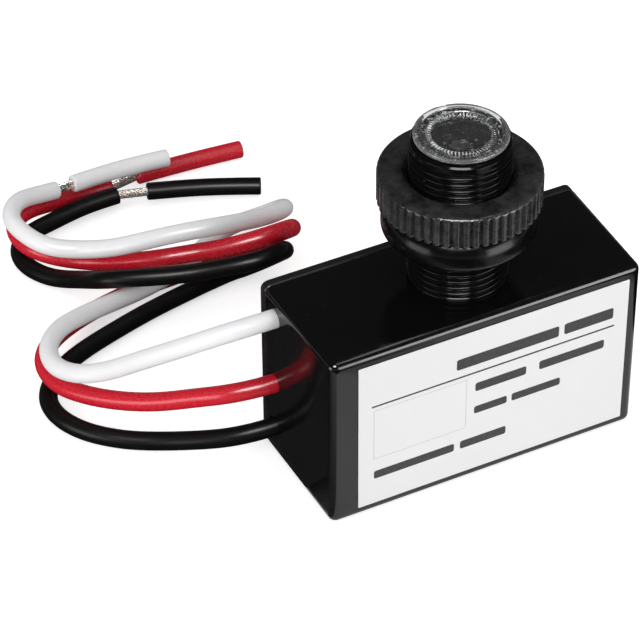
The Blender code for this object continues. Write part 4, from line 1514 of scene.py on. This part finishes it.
RED_LEAD = Lead(
    "red", RED_PVC, "insulation_red", 0.00700, 0.01410,
    ((-.0330, .0088, .0132), (-.0365, .0121, .0113), (-.0403, .0161, .0090), (-.0453, .0221, .0066),
     (-.0488, .0272, .0054), (-.0509, .0321, .0049), (-.0508, .0365, .0049), (-.0481, .0410, .0042),
     (-.0423, .0457, .0027), (-.0339, .0494, .0015), (-.0265, .0504, .0015), (-.0199, .0507, .0015),
     (-.0142, .0512, .0015), (-.0081, .0521, .0016), (-.0051, .0512, .0028), (-.0034, .0490, .0050),
     (-.0035, .0463, .0075), (-.0055, .0440, .0096), (-.0084, .0428, .0106), (-.0171, .0450, .0091),
     (-.0200, .0465, .0084), (-.0256, .0489, .0075), (-.0312, .0539, .0052), (-.0360, .0588, .0039),
     (-.0400, .0618, .0045), (-.0422, .0658, .0049), (-.0415, .0705, .0049), (-.0375, .0744, .0037),
     (-.0320, .0763, .0022), (-.0261, .0768, .0015), (-.0219, .0765, .0015)),
    ((-.0170, .0774, .0015), (-.0076, .0770, .0015), (.0017, .0762, .0015)))
BLACK_LEAD = Lead(
    "black", BLACK_PVC, "insulation_black", 0.00740, 0.00520,
    ((-.0330, .0094, .0041), (-.0370, .0123, .0029), (-.0410, .0154, .0019), (-.0455, .0186, .0015),
     (-.0495, .0224, .0015), (-.0520, .0270, .0015), (-.0522, .0320, .0015), (-.0493, .0364, .0015),
     (-.0443, .0397, .0015), (-.0375, .0422, .0015), (-.0298, .0444, .0015), (-.0227, .0459, .0015),
     (-.0171, .0469, .0015), (-.0115, .0473, .0016), (-.0086, .0463, .0028), (-.0069, .0443, .0050),
     (-.0071, .0416, .0076), (-.0089, .0393, .0097), (-.0121, .0380, .0105), (-.0195, .0405, .0092),
     (-.0230, .0422, .0084), (-.0271, .0440, .0080), (-.0312, .0461, .0076), (-.0349, .0489, .0066),
     (-.0372, .0544, .0035), (-.0403, .0594, .0016), (-.0423, .0634, .0015), (-.0422, .0676, .0015),
     (-.0396, .0708, .0015), (-.0348, .0723, .0016), (-.0290, .0730, .0021), (-.0224, .0729, .0025)),
    ((-.0176, .0718, .0023), (-.0086, .0692, .0018), (.0002, .0655, .0015)))


# ---------------------------------------------------------------- what is inside


@dataclass(frozen=True)
class Circuit:
    """The board and its components, which keep their CAD solids and get real finishes."""

    def finishes(self) -> dict[str, tuple[Finish, str]]:
        """The finish and the record's slot of each CAD node that stays.

        Returns:
            A finish and a slot by node.
        """
        epoxy, tan, blank = (0.014, 0.014, 0.015), (0.52, 0.36, 0.19), (0.45, 0.45, 0.45)
        ring_red, ring_violet, ring_gold = (0.35, 0.02, 0.01), (0.12, 0.03, 0.25), (0.5, 0.32, 0.06)
        made = {
            "sensor_sleeve": (SLEEVE_PAINTED_SHADE, "sleeve_grey"),
            "sensor_lead_a": (ELECTRODE, "sensor_wire"),
            "sensor_lead_b": (ELECTRODE, "sensor_wire"),
            "circuit_board": (Finish("board_green", (0.02, 0.15, 0.05), 0.35, drift=0.25, patch=350.0,
                                     grain=1600.0, grain_height=0.00001, coat=0.3), "board_green"),
            "relay": (Finish("relay_blue", (0.02, 0.09, 0.33), 0.4, grain=2400.0, grain_height=0.00001),
                      "relay_blue"),
            "film_capacitor": (Finish("resin_red", (0.42, 0.045, 0.02), 0.25, swell=0.00006, coat=0.4), "film_red"),
            "electrolytic_capacitor": (Finish("can_sleeve", (0.02, 0.022, 0.03), 0.25, drift=0.2), "can_black"),
            "varistor": (Finish("resin_blue", (0.015, 0.14, 0.42), 0.28, swell=0.00006, coat=0.4), "varistor_blue"),
            "transistor": (Finish("epoxy_black", epoxy, 0.5, grain=3000.0, grain_height=0.00001), "epoxy_black"),
        }
        for node in [f"rectifier_diode_{n}" for n in (1, 2, 3, 4)]:
            made[node] = (self.banded(node, epoxy, ((0.0, epoxy), (0.78, blank), (0.9, epoxy))), "epoxy_black")
        for node in ("dropper_resistor", "sense_resistor", "delay_resistor"):
            rings = ((0.0, tan), (0.18, ring_red), (0.27, tan), (0.36, ring_violet), (0.45, tan), (0.54, ring_red),
                     (0.63, tan), (0.78, ring_gold), (0.87, tan))
            made[node] = (self.banded(node, tan, rings), "resistor_tan")
        glass = (0.5, 0.12, 0.03)
        made["zener_diode"] = (self.banded("zener_diode", glass, ((0.0, glass), (0.75, epoxy), (0.9, glass))),
                               "diode_glass")
        return made

    def banded(self, node: str, colour: Colour, bands: tuple[tuple[float, Colour], ...]) -> Finish:
        """A finish whose bands go across a node from its left end to its right.

        Args:
            node: The CAD node.
            colour: Its body colour.
            bands: Where each colour starts, as a share of the length, and the colour.

        Returns:
            The finish.
        """
        low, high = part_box(node)
        return BandedFinish(f"{node}_bands", colour, 0.35, start=low[0], end=high[0], bands=bands, coat=0.3)

    def build(self) -> list[str]:
        """Dresses the CAD nodes that stay.

        Returns:
            Their names.
        """
        made = self.finishes()
        for node, (finish, slot) in made.items():
            coat(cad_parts[node], finish, slot)
        return sorted(made)


# ---------------------------------------------------------------- the studio


@dataclass(frozen=True)
class Camera:
    """The photograph's view: a long lens from above, in front and to the left."""

    place: Point = (-0.17791, -0.31305, 0.32317)
    right: Point = (0.89271145, -0.45059483, -0.00552876)
    up: Point = (0.29333244, 0.57174442, 0.76620128)
    forward: Point = (0.34208529, 0.68561842, -0.64257687)
    lens: float = 178.96

    def build(self) -> bpy.types.Object:
        """Makes the camera and gives it to the scene.

        Returns:
            The camera.
        """
        data = bpy.data.cameras.new("camera")
        data.lens, data.sensor_width = self.lens, 36.0
        data.clip_start, data.clip_end = 0.01, 20.0
        camera = bpy.data.objects.new("camera", data)
        bpy.context.scene.collection.objects.link(camera)
        turn = Matrix((self.right, self.up, tuple(-part for part in self.forward))).transposed()
        camera.matrix_world = Matrix.Translation(self.place) @ turn.to_4x4()
        bpy.context.scene.camera = camera
        return camera


class Part(Enum):
    """Where a stage piece stands."""

    CEILING = "ceiling"
    FLOOR = "floor"
    UPRIGHT = "upright"


@dataclass(frozen=True)
class SoftBox:
    """A soft rectangular light that faces the object from a direction, and may show in its gloss."""

    name: str
    towards: Point
    width: float
    height: float
    power: float
    mirrored: bool = False
    distance: float = 0.62
    aim: Point = (0.0, 0.0, 0.03)

    def build(self) -> bpy.types.Object:
        """Makes the light, facing its aim.

        Returns:
            The light.
        """
        data = bpy.data.lights.new(self.name, "AREA")
        data.shape, data.size, data.size_y, data.energy = "RECTANGLE", self.width, self.height, self.power
        direction = Vector(self.towards).normalized()
        light = bpy.data.objects.new(self.name, data)
        light.visible_glossy = self.mirrored
        turn = direction.to_track_quat("Z", "Y").to_matrix().to_4x4()
        light.matrix_world = Matrix.Translation(Vector(self.aim) + direction * self.distance) @ turn
        bpy.context.scene.collection.objects.link(light)
        return light


@dataclass(frozen=True)
class Flag:
    """A stage piece that only reflections show: a dark room's ceiling, a dark mat, or a bright card.

    A mat has two corners on the floor. A card stands between two places, from one height to another.
    A mat that fades glows nowhere at its first Y and fully at its second.
    """

    name: str
    part: Part
    low: tuple[float, float] = (0.0, 0.0)
    high: tuple[float, float] = (0.0, 0.0)
    rise: tuple[float, float] = (0.0, 0.0)
    glow: float = 0.0
    fade: tuple[float, float] | None = None
    lift: float = 0.03 * MM
    radius: float = 1.6

    def points(self) -> tuple[Array, Array]:
        """Its points and faces: a half sphere, a rectangle just over the floor, or one that stands.

        Returns:
            The points and the faces' corner numbers.
        """
        if self.part is Part.CEILING:
            rise = np.radians(np.linspace(2, 90, 14))
            sphere = about_axis(self.radius * np.cos(rise), self.radius * np.sin(rise), 48, (0.0, 0.0))
            return sphere.reshape(-1, 3), grid_faces(14, 48, rows_close=False)
        (left, near), (right, far) = self.low, self.high
        if self.part is Part.UPRIGHT:
            corners = [(*self.low, self.rise[0]), (*self.high, self.rise[0]),
                       (*self.high, self.rise[1]), (*self.low, self.rise[1])]
            return np.array(corners), np.array([[0, 1, 2, 3]])
        corners = np.array([(left, near), (right, near), (right, far), (left, far)])
        return np.column_stack([corners, np.full(4, self.lift)]), np.array([[0, 1, 2, 3]])

    def build(self) -> bpy.types.Object:
        """Makes the flag and hides it from everything but reflections.

        Returns:
            The flag.
        """
        points, faces = self.points()
        mesh = bpy.data.meshes.new(self.name)
        mesh.from_pydata(points.tolist(), [], faces.tolist())
        sheet = Sheet(self.name)
        sheet.set(Base_Color=(0.004, 0.004, 0.004, 1.0), Roughness=1.0, Specular_IOR_Level=0.0,
                  Emission_Color=(1.0, 1.0, 1.0, 1.0), Emission_Strength=self.glow)
        if self.fade:
            glow = sheet.level(sheet.part(sheet.place(Space.OBJECT), "Y"), self.fade, (0.0, self.glow))
            sheet.join(glow, sheet.shader.inputs["Emission Strength"])
        mesh.materials.append(sheet.material)
        flag = bpy.data.objects.new(self.name, mesh)
        bpy.context.scene.collection.objects.link(flag)
        flag.visible_camera = flag.visible_diffuse = flag.visible_shadow = False
        flag.visible_transmission = self.part is Part.CEILING
        return flag


@dataclass(frozen=True)
class Studio:
    """A white floor and surround, soft lights in front, and flags that keep the glossy faces dark."""

    floor_size: float = 6.0
    floor_glow: float = 0.60
    fill: float = 0.62
    shine: float = 0.35
    lights: tuple[SoftBox, ...] = (
        SoftBox("front_light", (0.27, -0.86, 0.48), 0.20, 0.30, 1.28),
        SoftBox("side_light", (-0.93, -0.15, 0.36), 0.20, 0.30, 1.6),
        SoftBox("top_strip", (0.30, -0.06, 0.95), 0.50, 0.05, 0.25, mirrored=True),
    )
    flags: tuple[Flag, ...] = (
        Flag("dark_ceiling", Part.CEILING, glow=0.04),
        Flag("mat_behind", Part.FLOOR, (-0.40, -0.002), (0.40, 0.40), glow=0.03),
        Flag("mat_beside", Part.FLOOR, (-0.40, -0.048), (-0.0262, -0.002), glow=0.7, fade=(-0.002, -0.050)),
        Flag("mat_in_front", Part.FLOOR, (-0.40, -0.40), (0.01, -0.048)),
        Flag("mat_right", Part.FLOOR, (0.046, -0.40), (0.40, -0.002)),
        Flag("front_card", Part.UPRIGHT, (0.04, -0.22), (0.16, -0.15), (0.0, 0.11), 8.0),
        Flag("side_card", Part.UPRIGHT, (-0.22, -0.09), (-0.22, 0.04), (0.0, 0.085), 5.0),
        Flag("high_card", Part.UPRIGHT, (-0.26, -0.19), (-0.02, -0.31), (0.28, 0.60), 22.0),
    )

    def seen(self, nodes: Nodes) -> Socket:
        """1 for camera rays and clear pieces, and less for a gloss, so that all show the white.

        Args:
            nodes: The nodes of the floor or the surround.

        Returns:
            The socket that carries it.
        """
        path = nodes.node("LightPath").outputs
        value = nodes.sum(path["Is Glossy Ray"], "MULTIPLY", self.shine)
        for name in ("Is Camera Ray", "Is Transmission Ray"):
            value = nodes.sum(value, "MAXIMUM", path[name])
        return value

    def floor(self) -> bpy.types.Object:
        """Makes the floor: white where it is seen, with a faint shadow under the object.

        Returns:
            The floor.
        """
        half = self.floor_size / 2
        mesh = bpy.data.meshes.new("floor")
        mesh.from_pydata([(-half, -half, 0), (half, -half, 0), (half, half, 0), (-half, half, 0)], [], [(0, 1, 2, 3)])
        sheet = Sheet("floor_white")
        sheet.set(Roughness=0.9, Specular_IOR_Level=0.0, Emission_Color=(1.0, 1.0, 1.0, 1.0))
        grain = sheet.noise(sheet.place(Space.OBJECT), 40.0)
        sheet.join(sheet.tones(grain, [(0.3, (0.80, 0.80, 0.80)), (0.7, (0.82, 0.82, 0.82))]),
                   sheet.shader.inputs["Base Color"])
        glow = sheet.level(self.seen(sheet), (0.0, 1.0), (0.0, self.floor_glow))
        sheet.join(glow, sheet.shader.inputs["Emission Strength"])
        mesh.materials.append(sheet.material)
        floor = bpy.data.objects.new("floor", mesh)
        bpy.context.scene.collection.objects.link(floor)
        return floor

    def surround(self) -> None:
        """Makes the world: white where it is seen, and a softer fill for everything else."""
        world = bpy.data.worlds.new("surround")
        world.use_nodes = True
        world.cycles.sampling_method = "NONE"
        bpy.context.scene.world = world
        nodes = Nodes(world.node_tree)
        back = nodes.tree.nodes["Background"].inputs
        nodes.join(nodes.level(self.seen(nodes), (0.0, 1.0), (self.fill, 1.0)), back["Strength"])
        back["Color"].default_value = (1.0, 1.0, 1.0, 1.0)

    def build(self) -> None:
        """Sets up the floor, the surround, the lights and the flags."""
        self.floor()
        self.surround()
        for piece in (*self.lights, *self.flags):
            piece.build()
        bpy.context.scene.view_settings.view_transform = "Standard"


# ---------------------------------------------------------------- the whole


def report(pieces: bpy.types.Object | Sequence[bpy.types.Object]) -> None:
    """Logs each piece and how many faces it has."""
    for piece in pieces if isinstance(pieces, (list, tuple)) else [pieces]:
        LOG.info("%s: %d faces", piece.name, len(piece.data.polygons))


def main() -> None:
    """Builds the camera, the leads, the rest of the switch and the studio."""
    logging.basicConfig(level=logging.INFO, format="%(name)s: %(message)s")
    Camera().build()
    box, neck, thread = Box(), Neck(), Thread()
    leads = [WHITE_LEAD, RED_LEAD, BLACK_LEAD]
    for lead in leads:
        report(lead.build(box))
    exits = [(lead.exit_y, lead.exit_z) for lead in leads]
    report(box.build(exits, neck.throat, neck.axis, WHITE_LEAD.diameter))
    report([box.build_cover(), box.guides()])
    report(neck.build(thread))
    report(RingNut().build(neck, thread))
    report(Gasket().build(neck))
    report(Lens().build(neck))
    report(LightCell().build(neck))
    report(Label().build())
    LOG.info("dressed: %s", ", ".join(Circuit().build()))
    Studio().build()


if __name__ == "__main__":
    main()
